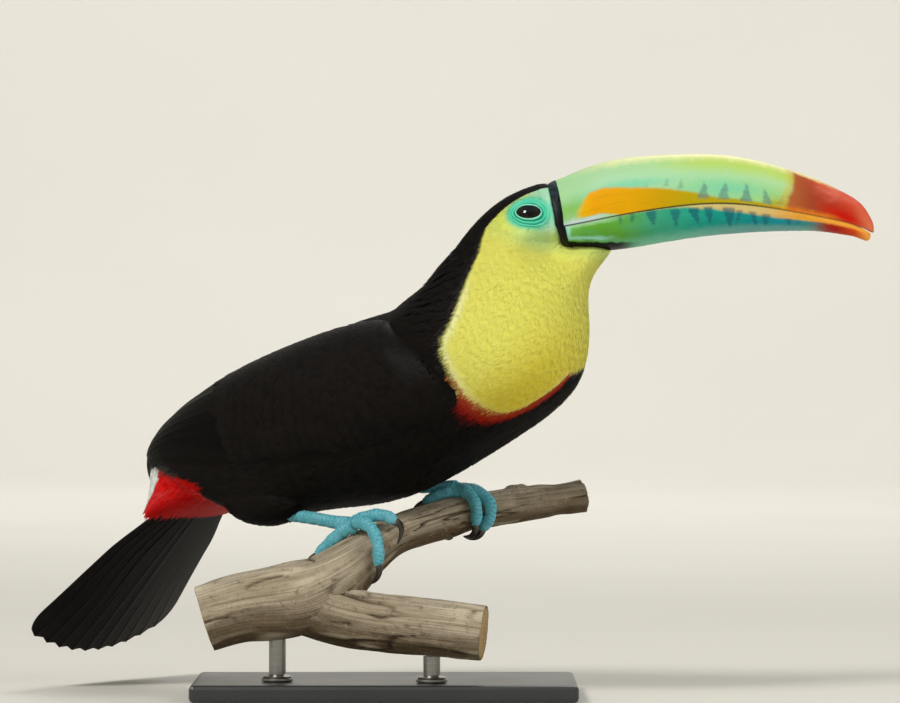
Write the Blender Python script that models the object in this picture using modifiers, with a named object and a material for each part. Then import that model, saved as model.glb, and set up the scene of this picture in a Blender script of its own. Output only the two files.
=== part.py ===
"""Keel-billed toucan on a cut branch, held by a plain display stand: the solid parts.

Lengths are in millimetres and become metres when a mesh is made. +Z is up and the floor is z = 0.
The head and bill point along +X. The trunk is turned from there toward -Y, and the neck twists
about an upright axis between the two. Every part is a closed solid in an object of its own.
"""

import math

import bmesh
import bpy
import numpy as np

MM = 0.001
GAP = 0.4            # clearance left between pieces that touch

# ---------------------------------------------------------------- the body's own shape

NECK_AXIS = (61.0, -34.0)   # the upright axis that the neck twists about
SQUARENESS = 2.2            # 2 is an ellipse, larger is boxier
BODY_SIDES = 22

# One row for each station along the body, from the tail to the bill. The back and the belly are
# (forward of the neck axis, height); then half the width, how far the station is turned from the
# bill's plane and how far it rolls, in degrees, and the angle that the dark strip along the back
# reaches on each side.
STATIONS = {
    "coverts":  ((-189, 91), (-179, 82.5), 35, 32, 0, 95),
    "rear":     ((-195, 105), (-157, 90), 28, 32, -8, 95),
    "rump":     ((-187, 121), (-149, 85), 34, 32, -9, 95),
    "loin":     ((-160, 143.5), (-129, 84), 40, 32, -3, 95),
    "back":     ((-120, 163), (-102, 88), 43, 32, 0, 95),
    "mantle":   ((-79, 177), (-64, 93.5), 43, 32, 0, 95),
    "shoulder": ((-60, 182), (-20, 113.5), 42, 32, 0, 95),
    "breast":   ((-52, 187), (10, 130.5), 41, 29, 0, 85),
    "root":     ((-44, 192), (28.5, 148), 38, 22, 0, 74),
    "neck":     ((-36, 201), (34, 171), 31.5, 13, 0, 64),
    "upper":    ((-27, 211), (34, 191), 27, 5, 0, 54),
    "throat":   ((-19, 221), (40, 203), 23.5, 0, 0, 36),
    "face":     ((-4, 233.5), (44, 207.5), 20.5, 0, 0, 20),
    "brow":     ((17, 240.5), (45.5, 209), 18, 0, 0, 14),
}
# Where the body is parted, in places along the stations, and the width of the cuts.
REAR_END = 1.0
TRUNK_END = 7.0
BAND_END = 7.28
NECK_END = 11.0
SLIT = 0.04

# ---------------------------------------------------------------- wings and tail

# From the wrist to the tip: the place along the body, the angles of the wing's upper and lower
# edge down from the back, and its thickness.
WING = {
    "wrist":       (6.95, 92, 110, 4.0),
    "bend":        (6.7, 70, 126, 7.0),
    "forearm":     (6.2, 44, 124, 7.5),
    "coverts":     (5.2, 28, 114, 7.0),
    "secondaries": (4.1, 19, 107, 6.0),
    "tertials":    (3.1, 13, 98, 5.0),
    "primaries":   (2.1, 10, 78, 3.6),
    "tips":        (1.1, 14, 50, 2.4),
    "tip":         (0.4, 26, 34, 1.6),
}
WING_CLEAR = 0.6     # from the body's surface to the wing's inner face
WING_EDGE = 0.9      # thickness at the rim
# The neck's twist slides the breast over the right wrist and bares the left one.
WRIST_SLIDE = {"left": 1.35, "right": 0.0}
WRIST_DROP = {"left": 14.0, "right": 0.0}     # degrees
WRIST_SWELL = {"left": 8.0, "right": 0.0}

TAIL_LENGTH = 80.0
TAIL_ROUND = 12.0    # how much longer the middle feathers are
TAIL_ROOT_HALF = 36.0
TAIL_TIP_HALF = 58.0
TAIL_DROOP = 50.0    # degrees below level
TAIL_ROOT_THICK = 9.0
TAIL_TIP_THICK = 1.6
TAIL_ARCH = 5.0      # how far the edges curl under

# ---------------------------------------------------------------- bill and eyes

# From the base to the tip: the ridge, the cutting edge and the lower keel, as (x, height), then
# half the width.
BILL = {
    "base":   ((77.5, 240.5), (81.9, 219.5), (84, 209.5), 17.5),
    "cheek":  ((91.5, 246.5), (91.5, 222.5), (91.5, 209), 17.5),
    "root":   ((110, 251.5), (110, 227), (110, 209.5), 16.5),
    "high":   ((138, 253.5), (138, 231), (138, 214), 14.5),
    "middle": ((166, 252), (166, 230), (166, 217), 12),
    "fore":   ((195, 244), (194.5, 226.5), (194.5, 218), 9),
    "bend":   ((213, 236), (209, 224), (209, 217), 6.8),
    "hook":   ((223, 228), (218, 220.8), (219, 215.4), 4.5),
    "tip":    ((229, 218), (226, 216.7), (227, 214.4), 1.2),
}
BILL_STEPS = 15
BAND_SHARE = 0.33    # of the first bill station, taken by the dark band
BILL_KEEL = 1.8      # below 2 gives the upper bill its ridge

EYE_RADIUS = 7.5
EYE_PLACE = (11.9, 60.0)    # along the body, and degrees down from the crown
EYE_BULGE = 1.3             # how far the ball stands out of the face

# ---------------------------------------------------------------- perch, feet and stand

# Centre (x, y, height) and radius, from the thick cut end to the thin one.
PERCH = {
    "cut end":    ((-84, -25, 38), 15.5),
    "stem":       ((-62, -24, 43.5), 16),
    "fork":       ((-38, -21, 47), 18),
    "knob":       ((-18, -17, 59), 13.5),
    "arm":        ((0, -8, 73.5), 9.5),
    "second":     ((16, 3, 80), 9.4),
    "far foot":   ((34, 12, 84.5), 9),
    "crook":      ((56, 20, 88), 8.4),
    "thin end":   ((94, 32, 93), 8),
}
FORK = {
    "inside":  ((-34, -23, 44), 15),
    "throat":  ((-12, -26, 37.5), 13.5),
    "limb":    ((16, -29, 34), 14),
    "cut end": ((46, -33, 31), 13),
}
BARK_SIDES = 14
BARK_WAVE = 0.05     # share of the radius

TOE_ROOT = 3.1
TOE_END = 2.1
TOE_START = -7.0     # degrees past the top of the perch, so that the toes cross inside the pad
CLAW_LENGTH = 9.0
TARSUS_RADIUS = 2.7
FORWARD_TURN = 32.0
# Place along the perch, and the heel as (x, y, height).
FEET = {
    "right": (3.15, (-58, 10, 86)),
    "left":  (6.0, (-12, 36, 97)),
}
# Degrees outward from straight ahead, and length without the claw.
TOES = {
    "inner front": (-12, 27),
    "outer front": (11, 35),
    "outer back":  (160, 27),
    "inner back":  (200, 20),
}
THIGH = (23.0, 12.0, 12.0)   # half sizes along the bird, across it and up
THIGH_SHIFT = np.array([2.0, 0.0, 6.0])   # its middle, from the heel

BASE_SIZE = (180.0, 104.0, 8.0)
BASE_EDGE = 2.0
ROD_RADIUS = 4.0
# Place (x, y) and the height where each rod ends inside the wood.
RODS = {"front": (22.0, -30.0, 28.0), "back": (-50.0, -22.5, 38.0)}

COLOURS = {
    "black_plumage":  ("0d0c0b", 0.7, 0.0),
    "yellow_plumage": ("d8d45a", 0.8, 0.0),
    "red_plumage":    ("a8140a", 0.8, 0.0),
    "white_plumage":  ("dcdfcf", 0.8, 0.0),
    "eye":            ("0a0706", 0.1, 0.0),
    "bill_green":     ("a9d66e", 0.35, 0.0),
    "bill_blue":      ("2f9fa6", 0.35, 0.0),
    "bill_black":     ("10141a", 0.4, 0.0),
    "leg_skin":       ("5ab4c4", 0.5, 0.0),
    "bark":           ("9a8a70", 0.9, 0.0),
    "stand_paint":    ("2a2a2c", 0.45, 0.0),
    "stand_steel":    ("8c8f92", 0.3, 1.0),
}


# ---------------------------------------------------------------- scene helpers

def linear(byte_text):
    """Give the linear value of one two-digit colour channel."""
    value = int(byte_text, 16) / 255
    return value / 12.92 if value <= 0.04045 else ((value + 0.055) / 1.055) ** 2.4


def material(name):
    """Make or find the named Principled material."""
    if name in bpy.data.materials:
        return bpy.data.materials[name]
    code, rough, metal = COLOURS[name]
    made = bpy.data.materials.new(name)
    made.use_nodes = True
    shader = made.node_tree.nodes["Principled BSDF"]
    colour = [linear(code[i:i + 2]) for i in (0, 2, 4)] + [1.0]
    shader.inputs["Base Color"].default_value = colour
    shader.inputs["Roughness"].default_value = rough
    shader.inputs["Metallic"].default_value = metal
    made.diffuse_color = colour
    return made


def add_object(name, mesh, finish, group):
    """Put a mesh in the scene as a named object with its material."""
    made = bpy.data.objects.new(name, mesh)
    if finish:
        mesh.materials.append(material(finish))
    group.objects.link(made)
    return made


def mesh_from(name, points, faces):
    """Make a mesh in metres from points in millimetres, its faces turned outward."""
    mesh = bpy.data.meshes.new(name)
    mesh.from_pydata((np.asarray(points) * MM).tolist(), [], [list(face) for face in faces])
    work = bmesh.new()
    work.from_mesh(mesh)
    bmesh.ops.recalc_face_normals(work, faces=work.faces)
    work.to_mesh(mesh)
    work.free()
    return mesh


def ring_loft(name, rings, fold=None):
    """Close a run of rings with equal counts into a solid with flat ends.

    The last strip runs between each ring's last and first point. Where two pieces meet along such
    a strip, fold says which of the two points its creases start from, so that they match.
    """
    rings = np.asarray(rings, float)
    count, sides = rings.shape[:2]
    faces = []
    for i in range(count - 1):
        here, there = i * sides, (i + 1) * sides
        for j in range(sides - 1):
            faces.append((here + j, here + j + 1, there + j + 1, there + j))
        last = sides - 1
        if fold == "first":
            faces += [(here + last, here, there + last), (here, there, there + last)]
        elif fold == "last":
            faces += [(here + last, here, there), (here + last, there, there + last)]
        else:
            faces.append((here + last, here, there, there + last))
    faces.append(tuple(range(sides)))
    faces.append(tuple(range((count - 1) * sides, count * sides)))
    return mesh_from(name, rings.reshape(-1, 3), faces)


def shell_loft(name, outer, inner):
    """Join an outer and an inner grid along their rims into a solid."""
    rows, columns = outer.shape[:2]
    size = rows * columns
    faces = []
    for i in range(rows - 1):
        for j in range(columns - 1):
            a = i * columns + j
            quad = (a, a + 1, a + columns + 1, a + columns)
            faces.append(quad)
            faces.append(tuple(size + k for k in reversed(quad)))
    rim = [j for j in range(columns)]
    rim += [i * columns + columns - 1 for i in range(1, rows)]
    rim += [(rows - 1) * columns + j for j in range(columns - 2, -1, -1)]
    rim += [i * columns for i in range(rows - 2, 0, -1)]
    for a, b in zip(rim, rim[1:] + rim[:1]):
        faces.append((a, b, size + b, size + a))
    return mesh_from(name, np.concatenate([outer.reshape(-1, 3), inner.reshape(-1, 3)]), faces)


def combine(target, other, operation):
    """Add an exact Boolean with another object to the target."""
    made = target.modifiers.new(f"{operation.lower()} {other.name}", "BOOLEAN")
    made.operation = operation
    made.solver = "EXACT"
    made.object = other


# ---------------------------------------------------------------- smooth tables

def smooth(table, place):
    """Read rows between rows with a natural cubic spline through them all."""
    table = np.asarray(table, float)
    place = np.asarray(place, float)
    count = len(table)
    system = np.eye(count)
    wanted = np.zeros_like(table)
    for i in range(1, count - 1):
        system[i, i - 1:i + 2] = (1, 4, 1)
        wanted[i] = 6 * (table[i - 1] - 2 * table[i] + table[i + 1])
    bend = np.linalg.solve(system, wanted)
    low = np.clip(np.floor(place).astype(int), 0, count - 2)
    far = (place - low)[..., None]
    near = 1 - far
    line = near * table[low] + far * table[low + 1]
    return line + ((near ** 3 - near) * bend[low] + (far ** 3 - far) * bend[low + 1]) / 6


def flat_rows(table):
    """Turn a named table of numbers and tuples into plain rows."""
    return [np.hstack([np.ravel(item) for item in row]) for row in table.values()]


BODY_ROWS = flat_rows(STATIONS)
BILL_ROWS = flat_rows(BILL)
WING_ROWS = flat_rows(WING)
PERCH_ROWS = flat_rows(PERCH)
FORK_ROWS = flat_rows(FORK)


def unit(vector):
    """Scale vectors to length one."""
    return vector / np.linalg.norm(vector, axis=-1, keepdims=True)


def heading(degrees):
    """Give the level direction that is turned from +X toward -Y."""
    turn = np.radians(degrees)
    return np.stack([np.cos(turn), -np.sin(turn), 0 * turn], -1)


def power(value, squareness):
    """Bend a sine or cosine into a superellipse's."""
    return np.sign(value) * np.abs(value) ** (2 / squareness)


def body_surface(place, angle):
    """Give points on the body: angle 0 is the back, 90 the bird's left side, 180 the belly."""
    place, angle = np.broadcast_arrays(np.asarray(place, float), np.radians(angle))
    row = smooth(BODY_ROWS, place)
    forward = heading(row[..., 5])
    left = np.stack([-forward[..., 1], forward[..., 0], 0 * place], -1)
    up = np.array([0.0, 0.0, 1.0])
    axis = np.array([NECK_AXIS[0], NECK_AXIS[1], 0.0])
    back = axis + row[..., 0:1] * forward + row[..., 1:2] * up
    belly = axis + row[..., 2:3] * forward + row[..., 3:4] * up
    half = (back - belly) / 2
    roll = np.radians(row[..., 6:7])
    side = np.cos(roll) * left + np.sin(roll) * unit(half)
    across = power(np.sin(angle), SQUARENESS)[..., None] * row[..., 4:5]
    along = power(np.cos(angle), SQUARENESS)[..., None]
    return (back + belly) / 2 + half * along + side * across


def body_normal(place, angle):
    """Give the outward direction of the body's surface."""
    step = 0.02
    around = body_surface(place, angle + 1.0) - body_surface(place, angle - 1.0)
    ahead = body_surface(place + step, angle) - body_surface(place - step, angle)
    return unit(np.cross(ahead, around))


def strip_angle(place):
    """Give the half angle of the dark strip along the back."""
    return np.interp(place, np.arange(len(BODY_ROWS)), [row[7] for row in BODY_ROWS])


# ---------------------------------------------------------------- body pieces

def body_piece(name, places, arc, finish, group):
    """Loft a length of the body: the whole round, the strip along the back, or the rest.

    Pieces that lie side by side share their places, so that the faces between them match.
    """
    rings = []
    fold = {"whole": None, "back": "last", "rest": "first"}[arc]
    for place in places:
        edge = strip_angle(place)
        part = math.degrees(GAP / 2 / 25)
        if arc == "whole":
            angles = np.arange(BODY_SIDES) * 360 / BODY_SIDES
        elif arc == "back":
            sides = BODY_SIDES // 3
            angles = np.linspace(-edge + part, edge - part, sides)
        else:
            sides = BODY_SIDES * 3 // 4
            angles = np.linspace(edge + part, 360 - edge - part, sides)
        rings.append(body_surface(place, angles))
    return add_object(name, ring_loft(name, rings, fold), finish, group)


def wing(side, group):
    """Loft a folded wing as a lens that lies on the body's flank; side is 1 for left."""
    label = "left" if side > 0 else "right"
    run = np.linspace(0, len(WING_ROWS) - 1, 21)
    row = smooth(WING_ROWS, run)
    front = np.clip(1 - run / 3, 0, 1)[:, None] ** 1.5
    across = np.linspace(0, 1, 8)[None, :]
    place = np.repeat(row[:, 0:1] + WRIST_SLIDE[label] * front, across.shape[1], 1)
    angle = row[:, 1:2] + (row[:, 2:3] - row[:, 1:2]) * across + WRIST_DROP[label] * front
    lens = (1 - np.abs(2 * across - 1) ** 2.5) * (0.55 + 0.5 * across)
    thick = WING_EDGE + (row[:, 3:4] + WRIST_SWELL[label] * front - WING_EDGE) * lens
    surface = body_surface(place, side * angle)
    normal = body_normal(place, side * angle)
    inner = surface + normal * WING_CLEAR
    outer = surface + normal * (WING_CLEAR + thick[..., None])
    name = f"wing_{label}"
    return add_object(name, shell_loft(name, outer, inner), "black_plumage", group)


def tail(group):
    """Loft the fanned tail as a thin arched slab that droops behind the body."""
    row = smooth(BODY_ROWS, np.array(0.0))
    forward = heading(row[5])
    left = np.array([-forward[1], forward[0], 0.0])
    droop = math.radians(TAIL_DROOP)
    along = -forward * math.cos(droop) - np.array([0, 0, math.sin(droop)])
    upper = np.cross(left, along) * -1
    root = body_surface(0.0, np.array([0.0, 180.0])).mean(0)
    run = np.linspace(0, 1, 8)[:, None]
    across = np.linspace(-1, 1, 11)[None, :]
    reach = GAP + 0.3 + run * (TAIL_LENGTH + TAIL_ROUND * (1 - across ** 2))
    half = TAIL_ROOT_HALF + (TAIL_TIP_HALF - TAIL_ROOT_HALF) * run ** 0.8
    thick = (TAIL_ROOT_THICK + (TAIL_TIP_THICK - TAIL_ROOT_THICK) * run ** 0.7) * (1 - 0.45 * across ** 2)
    middle = (
        root
        + reach[..., None] * along
        + (half * across)[..., None] * left
        - (TAIL_ARCH * run * across ** 2)[..., None] * upper
    )
    lift = (thick / 2)[..., None] * upper
    return add_object("tail", shell_loft("tail", middle + lift, middle - lift), "black_plumage", group)


def ball(name, centre, radii, turn, segments, finish, group):
    """Make an ellipsoid turned about +Z."""
    mesh = bpy.data.meshes.new(name)
    work = bmesh.new()
    bmesh.ops.create_uvsphere(work, u_segments=segments, v_segments=segments // 2, radius=MM)
    work.to_mesh(mesh)
    work.free()
    made = add_object(name, mesh, finish, group)
    made.location = [value * MM for value in centre]
    made.scale = radii
    made.rotation_euler = (0, 0, math.radians(turn))
    return made


# ---------------------------------------------------------------- bill

def bill_rings(start, end, count, half, grow=0.0):
    """Give rings of the upper bill, the lower bill or both."""
    rings = []
    for place in np.linspace(start, end, count):
        row = smooth(BILL_ROWS, np.array(place))
        ridge, edge, keel = (np.array([row[i], NECK_AXIS[1], row[i + 1]]) for i in (0, 2, 4))
        wide = row[6] + grow
        upward = unit(ridge - edge)
        ridge = ridge + grow * upward
        keel = keel + grow * unit(keel - edge)
        top = np.radians(np.linspace(0, 180, 11))
        low = np.radians(np.linspace(180, 360, 11))
        if half == "upper":
            angles, edge = top, edge + upward * GAP / 2
        elif half == "lower":
            angles, edge = low, edge - upward * GAP / 2
        else:
            angles = np.concatenate([top, low[1:-1]])
        rise = power(np.sin(angles), np.where(np.sin(angles) > 0, BILL_KEEL, 2.3))[:, None]
        tall = np.where(rise > 0, rise * (ridge - edge), -rise * (keel - edge))
        side = power(np.cos(angles), 2.0)[:, None] * np.array([0.0, wide, 0.0])
        rings.append(edge + tall + side)
    return rings


def bill(group):
    """Build the dark band at the base, then the two halves of the bill."""
    last = len(BILL_ROWS) - 1
    band = ring_loft("bill_band", bill_rings(0, BAND_SHARE, 3, "both"))
    add_object("bill_band", band, "bill_black", group)
    for half, finish in (("upper", "bill_green"), ("lower", "bill_blue")):
        rings = bill_rings(BAND_SHARE + 1.5 * SLIT, last, BILL_STEPS, half)
        add_object(f"bill_{half}", ring_loft(f"bill_{half}", rings), finish, group)


def bill_cutters(group):
    """Make the solids that clear the head for the bill and its band."""
    row = smooth(BILL_ROWS, np.array(0.0))
    grown = ring_loft("bill room", bill_rings(-0.04, 4, 9, "both", GAP))
    slope = (row[4] - row[0]) / (row[1] - row[5])
    foot = row[5] + 4.5
    top = row[1] + 12
    heel = row[4] - GAP - slope * (foot - row[5])
    brow = row[4] - GAP - slope * (top - row[5])
    outline = [(heel, foot), (brow, top), (130, top), (130, foot)]
    rings = [[(x, NECK_AXIS[1] + y, z) for x, z in outline] for y in (-40, 40)]
    front = ring_loft("bill front", rings)
    return [add_object("cut_bill", grown, None, group), add_object("cut_front", front, None, group)]


# ---------------------------------------------------------------- perch and feet

def branch_rings(rows, count, grow=0.0, start=0.0, end=None):
    """Sweep an uneven round section along a branch's smooth centre line."""
    places = np.linspace(start, len(rows) - 1 if end is None else end, count)
    centre = smooth(rows, places)
    ahead = unit(smooth(rows, places + 0.01)[:, :3] - smooth(rows, places - 0.01)[:, :3])
    side = unit(np.cross(np.array([0.0, 0.0, 1.0]), ahead))
    rise = np.cross(ahead, side)
    angle = np.arange(BARK_SIDES) * 2 * math.pi / BARK_SIDES
    three_lobes = np.sin(3 * angle[None, :] + 1.3 * places[:, None])
    two_lobes = np.sin(2 * angle[None, :] - 2.1 * places[:, None])
    wave = three_lobes + two_lobes
    radius = centre[:, 3:4] * (1 + BARK_WAVE / 2 * wave) + grow
    ring = side[:, None] * np.cos(angle)[None, :, None] + rise[:, None] * np.sin(angle)[None, :, None]
    return centre[:, None, :3] + ring * radius[..., None]


def tube_rings(path, radii, sides=7):
    """Sweep a round section along a path of points."""
    path = np.asarray(path, float)
    ahead = unit(np.gradient(path, axis=0))
    lead = np.array([0.3, -0.9, 0.31])
    side = unit(np.cross(ahead, lead))
    rise = np.cross(side, ahead)
    angle = np.arange(sides) * 2 * math.pi / sides
    ring = side[:, None] * np.cos(angle)[None, :, None] + rise[:, None] * np.sin(angle)[None, :, None]
    return path[:, None] + ring * np.asarray(radii, float)[:, None, None]


def toe_path(grip, turn, length):
    """Wrap a toe over the perch, then its claw.

    The toe stays in the upright plane that holds its heading. That plane cuts the perch in an
    ellipse, and the toe follows the ellipse one toe radius outside it.
    """
    row = smooth(PERCH_ROWS, np.array(grip))
    near, far = np.array(grip - 0.05), np.array(grip + 0.05)
    along = unit(smooth(PERCH_ROWS, far)[:3] - smooth(PERCH_ROWS, near)[:3])
    level = heading(FORWARD_TURN + turn)
    angle = np.radians(np.linspace(TOE_START, 170, 120))[:, None]
    ray = level * np.sin(angle) + np.array([0, 0, 1.0]) * np.cos(angle)
    share = np.linspace(0, 1, len(angle))[:, None]
    stand_off = row[3] + TOE_ROOT - 0.6 * share
    path = row[:3] + ray * stand_off / np.sqrt(1 - (ray @ along)[:, None] ** 2)
    run = np.concatenate([[0], np.cumsum(np.linalg.norm(np.diff(path, axis=0), axis=1))])
    claw_marks = length + CLAW_LENGTH * np.array([0.12, 0.4, 0.7, 1.0])
    marks = np.concatenate([np.linspace(0, length, 8), claw_marks])
    points = np.stack([np.interp(marks, run, path[:, k]) for k in range(3)], 1)
    toe = np.linspace(TOE_ROOT, TOE_END, 8)
    claw = np.array([1.7, 1.5, 1.0, 0.35])
    arch = np.array([0.6, 1.3, 1.1, 0.2])[:, None]
    outward = unit(points[-4:] - row[:3])
    points[-4:] += outward * arch
    return points, np.concatenate([toe, claw])


def foot(side, clear, group, cutters):
    """Join tarsus, ball and four toes, and clear them from what they touch."""
    grip, heel = FEET[side]
    name = f"foot_{side}"
    start, _ = toe_path(grip, 0, 20)
    pad = start[0] + np.array([0.5, 0, 0.6])
    heel = np.array(heel, float)
    share = np.linspace(0, 1, 8)[:, None]
    sag = np.sin(share * math.pi) * np.array([0, 0, 0.8])
    leg = heel + (pad - heel) * share + sag
    radii = TARSUS_RADIUS * (1 + 0.25 * (2 * share[:, 0] - 1) ** 4)
    made = add_object(name, ring_loft(name, tube_rings(leg, radii)), "leg_skin", group)
    extra = [ball(f"pad {side}", pad, (4.4, 4.0, 3.6), -FORWARD_TURN, 12, None, cutters)]
    for label, (turn, length) in TOES.items():
        mirrored = -turn if side == "left" else turn
        points, widths = toe_path(grip, mirrored, length)
        mesh = ring_loft(f"{label} toe {side}", tube_rings(points, widths))
        extra.append(add_object(f"{label} toe {side}", mesh, None, cutters))
    for piece in extra:
        combine(made, piece, "UNION")
    for piece in clear:
        combine(made, piece, "DIFFERENCE")
    return made


def thigh_centre(side):
    """Place the thigh's middle over the heel."""
    return np.array(FEET[side][1]) + THIGH_SHIFT


def thigh(side, trunk_room, group):
    """Set a feathered thigh under the flank, around the heel."""
    made = ball(f"thigh_{side}", thigh_centre(side), THIGH, -FORWARD_TURN, 20, "black_plumage", group)
    combine(made, trunk_room, "DIFFERENCE")
    return made


# ---------------------------------------------------------------- stand

def stand(room, group):
    """Build the flat base and the two short rods under the perch."""
    mesh = bpy.data.meshes.new("stand_base")
    work = bmesh.new()
    bmesh.ops.create_cube(work, size=1.0)
    bmesh.ops.scale(work, vec=[value * MM for value in BASE_SIZE], verts=work.verts)
    work.to_mesh(mesh)
    work.free()
    base = add_object("stand_base", mesh, "stand_paint", group)
    base.location = (0, 0, BASE_SIZE[2] / 2 * MM)
    rounding = base.modifiers.new("edges", "BEVEL")
    rounding.width = BASE_EDGE * MM
    rounding.segments = 2
    rounding.limit_method = "ANGLE"
    for label, (x, y, top) in RODS.items():
        foot_level = BASE_SIZE[2] + GAP
        length = top - foot_level
        mesh = bpy.data.meshes.new(f"stand_rod_{label}")
        work = bmesh.new()
        radius = ROD_RADIUS * MM
        bmesh.ops.create_cone(
            work, cap_ends=True, segments=20, radius1=radius, radius2=radius, depth=length * MM
        )
        work.to_mesh(mesh)
        work.free()
        rod = add_object(f"stand_rod_{label}", mesh, "stand_steel", group)
        rod.location = (x * MM, y * MM, (foot_level + length / 2) * MM)
        for piece in room:
            combine(rod, piece, "DIFFERENCE")


# ---------------------------------------------------------------- the whole part

def build():
    """Clear the scene, then build every part and its cutters."""
    for old in list(bpy.data.objects):
        bpy.data.objects.remove(old, do_unlink=True)
    bird = bpy.data.collections.new("keel_billed_toucan")
    cutters = bpy.data.collections.new("cutters")
    for group in (bird, cutters):
        bpy.context.scene.collection.children.link(group)

    rear = np.linspace(0, REAR_END - SLIT, 5)
    body_piece("uppertail_coverts", rear, "back", "white_plumage", bird)
    body_piece("undertail_coverts", rear, "rest", "red_plumage", bird)
    body_piece("trunk", np.linspace(REAR_END, TRUNK_END - SLIT, 18), "whole", "black_plumage", bird)
    band = [TRUNK_END, BAND_END]
    throat = np.linspace(BAND_END + SLIT, NECK_END - SLIT, 10)
    body_piece("nape", np.concatenate([band, throat]), "back", "black_plumage", bird)
    body_piece("breast_band", band, "rest", "red_plumage", bird)
    body_piece("bib", throat, "rest", "yellow_plumage", bird)
    face = np.linspace(NECK_END, len(BODY_ROWS) - 1, 9)
    crown = body_piece("crown", face, "back", "black_plumage", bird)
    head = body_piece("head", face, "rest", "yellow_plumage", bird)

    bill(bird)
    rooms = bill_cutters(cutters)
    place, angle = EYE_PLACE
    for side, label in ((1, "left"), (-1, "right")):
        at = np.array(place)
        surface = body_surface(at, side * angle)
        inward = body_normal(at, side * angle) * (EYE_BULGE - EYE_RADIUS)
        centre = surface + inward
        ball(f"eye_{label}", centre, [EYE_RADIUS] * 3, 0, 12, "eye", bird)
        rooms.append(ball(f"socket {label}", centre, [EYE_RADIUS + GAP] * 3, 0, 12, None, cutters))
    for piece in (head, crown):
        for room in rooms[:2]:
            combine(piece, room, "DIFFERENCE")
    for room in rooms[2:]:
        combine(head, room, "DIFFERENCE")

    for side in (1, -1):
        wing(side, bird)
    tail(bird)

    perch = add_object("perch", ring_loft("perch", branch_rings(PERCH_ROWS, 21)), "bark", bird)
    longer = branch_rings(PERCH_ROWS, 21, GAP, -0.05, len(PERCH_ROWS) - 0.95)
    perch_room = add_object("perch room", ring_loft("perch room", longer), None, cutters)
    limb = add_object("perch_fork", ring_loft("perch_fork", branch_rings(FORK_ROWS, 9)), "bark", bird)
    limb_room = add_object(
        "limb room", ring_loft("limb room", branch_rings(FORK_ROWS, 9, GAP)), None, cutters)
    combine(limb, perch_room, "DIFFERENCE")
    stand([perch_room, limb_room], bird)

    trunk_room = grown_trunk(cutters)
    for side in ("right", "left"):
        thigh(side, trunk_room, bird)
        sizes = [value + GAP for value in THIGH]
        thigh_room = ball(f"thigh room {side}", thigh_centre(side), sizes, -FORWARD_TURN, 20, None, cutters)
        foot(side, [trunk_room, thigh_room, perch_room], bird, cutters)

    for cutter in cutters.objects:
        cutter.hide_render = True
        cutter.display_type = "WIRE"
    return perch


def grown_trunk(group):
    """Make the trunk's shape a little larger, to clear the legs from it."""
    angles = np.arange(BODY_SIDES) * 360 / BODY_SIDES
    rings = []
    for place in np.linspace(REAR_END, TRUNK_END - SLIT, 18):
        at = np.full(angles.shape, place)
        rings.append(body_surface(at, angles) + body_normal(at, angles) * GAP * 1.3)
    return add_object("trunk room", ring_loft("trunk room", rings), None, group)


if __name__ == "__main__":
    build()
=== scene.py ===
"""Looks of the keel-billed toucan model: skin, plumage, bill, feet, perch and display stand.

Lengths are in millimetres until a mesh is made. +X is the way the bill points, +Z is up and the
floor is z = 0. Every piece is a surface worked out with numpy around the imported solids.
"""

from __future__ import annotations

import logging
import math
from dataclasses import dataclass, field
from enum import IntEnum
from typing import Callable, ClassVar, Sequence

import bpy
import numpy as np
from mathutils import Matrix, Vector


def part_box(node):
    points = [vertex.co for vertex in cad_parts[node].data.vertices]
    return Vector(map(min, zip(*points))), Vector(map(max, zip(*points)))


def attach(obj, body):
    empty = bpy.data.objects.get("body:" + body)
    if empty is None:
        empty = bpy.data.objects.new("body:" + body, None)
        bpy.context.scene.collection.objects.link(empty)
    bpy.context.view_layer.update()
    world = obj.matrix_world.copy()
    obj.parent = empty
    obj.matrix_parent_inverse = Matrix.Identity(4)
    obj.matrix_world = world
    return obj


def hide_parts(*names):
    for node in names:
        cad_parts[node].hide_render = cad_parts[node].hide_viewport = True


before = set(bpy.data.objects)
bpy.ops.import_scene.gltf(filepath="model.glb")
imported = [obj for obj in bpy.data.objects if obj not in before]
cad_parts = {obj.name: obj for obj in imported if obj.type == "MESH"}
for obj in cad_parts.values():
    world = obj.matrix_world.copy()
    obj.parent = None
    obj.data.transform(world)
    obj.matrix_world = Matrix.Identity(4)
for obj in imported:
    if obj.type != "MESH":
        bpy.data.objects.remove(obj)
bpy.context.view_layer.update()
LOG = logging.getLogger("toucan")

Array = np.ndarray
Colour = tuple[float, float, float]
Marks = dict[str, Array]
Socket = bpy.types.NodeSocket
Material = bpy.types.Material

MM = 0.001
UP = np.array([0.0, 0.0, 1.0])
MASKS = ("yellow", "red", "white", "band", "eye", "rim", "lore", "face", "cheek", "foot", "halo", "green")
SKIN_MARKS = (*MASKS, "bare", "crease", "leg")


class Side(IntEnum):
    """A side of the bird, as the sign of its angles."""

    LEFT = 1
    RIGHT = -1

    @property
    def label(self) -> str:
        """Give the side's name as the nodes have it."""
        return self.name.lower()


# ---------------------------------------------------------------- shader arithmetic

def operator(operation: str, swap: bool = False) -> Callable[[Value, object], Value]:
    """Make the method of Value that stands for one of Python's operators.

    Args:
        operation: The Math node's operation.
        swap: Put the other value first.

    Returns:
        The method.
    """
    def method(self: Value, other: object) -> Value:
        """Work the operation out in the shader."""
        return self.math(operation, other, swap=swap)
    return method


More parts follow.
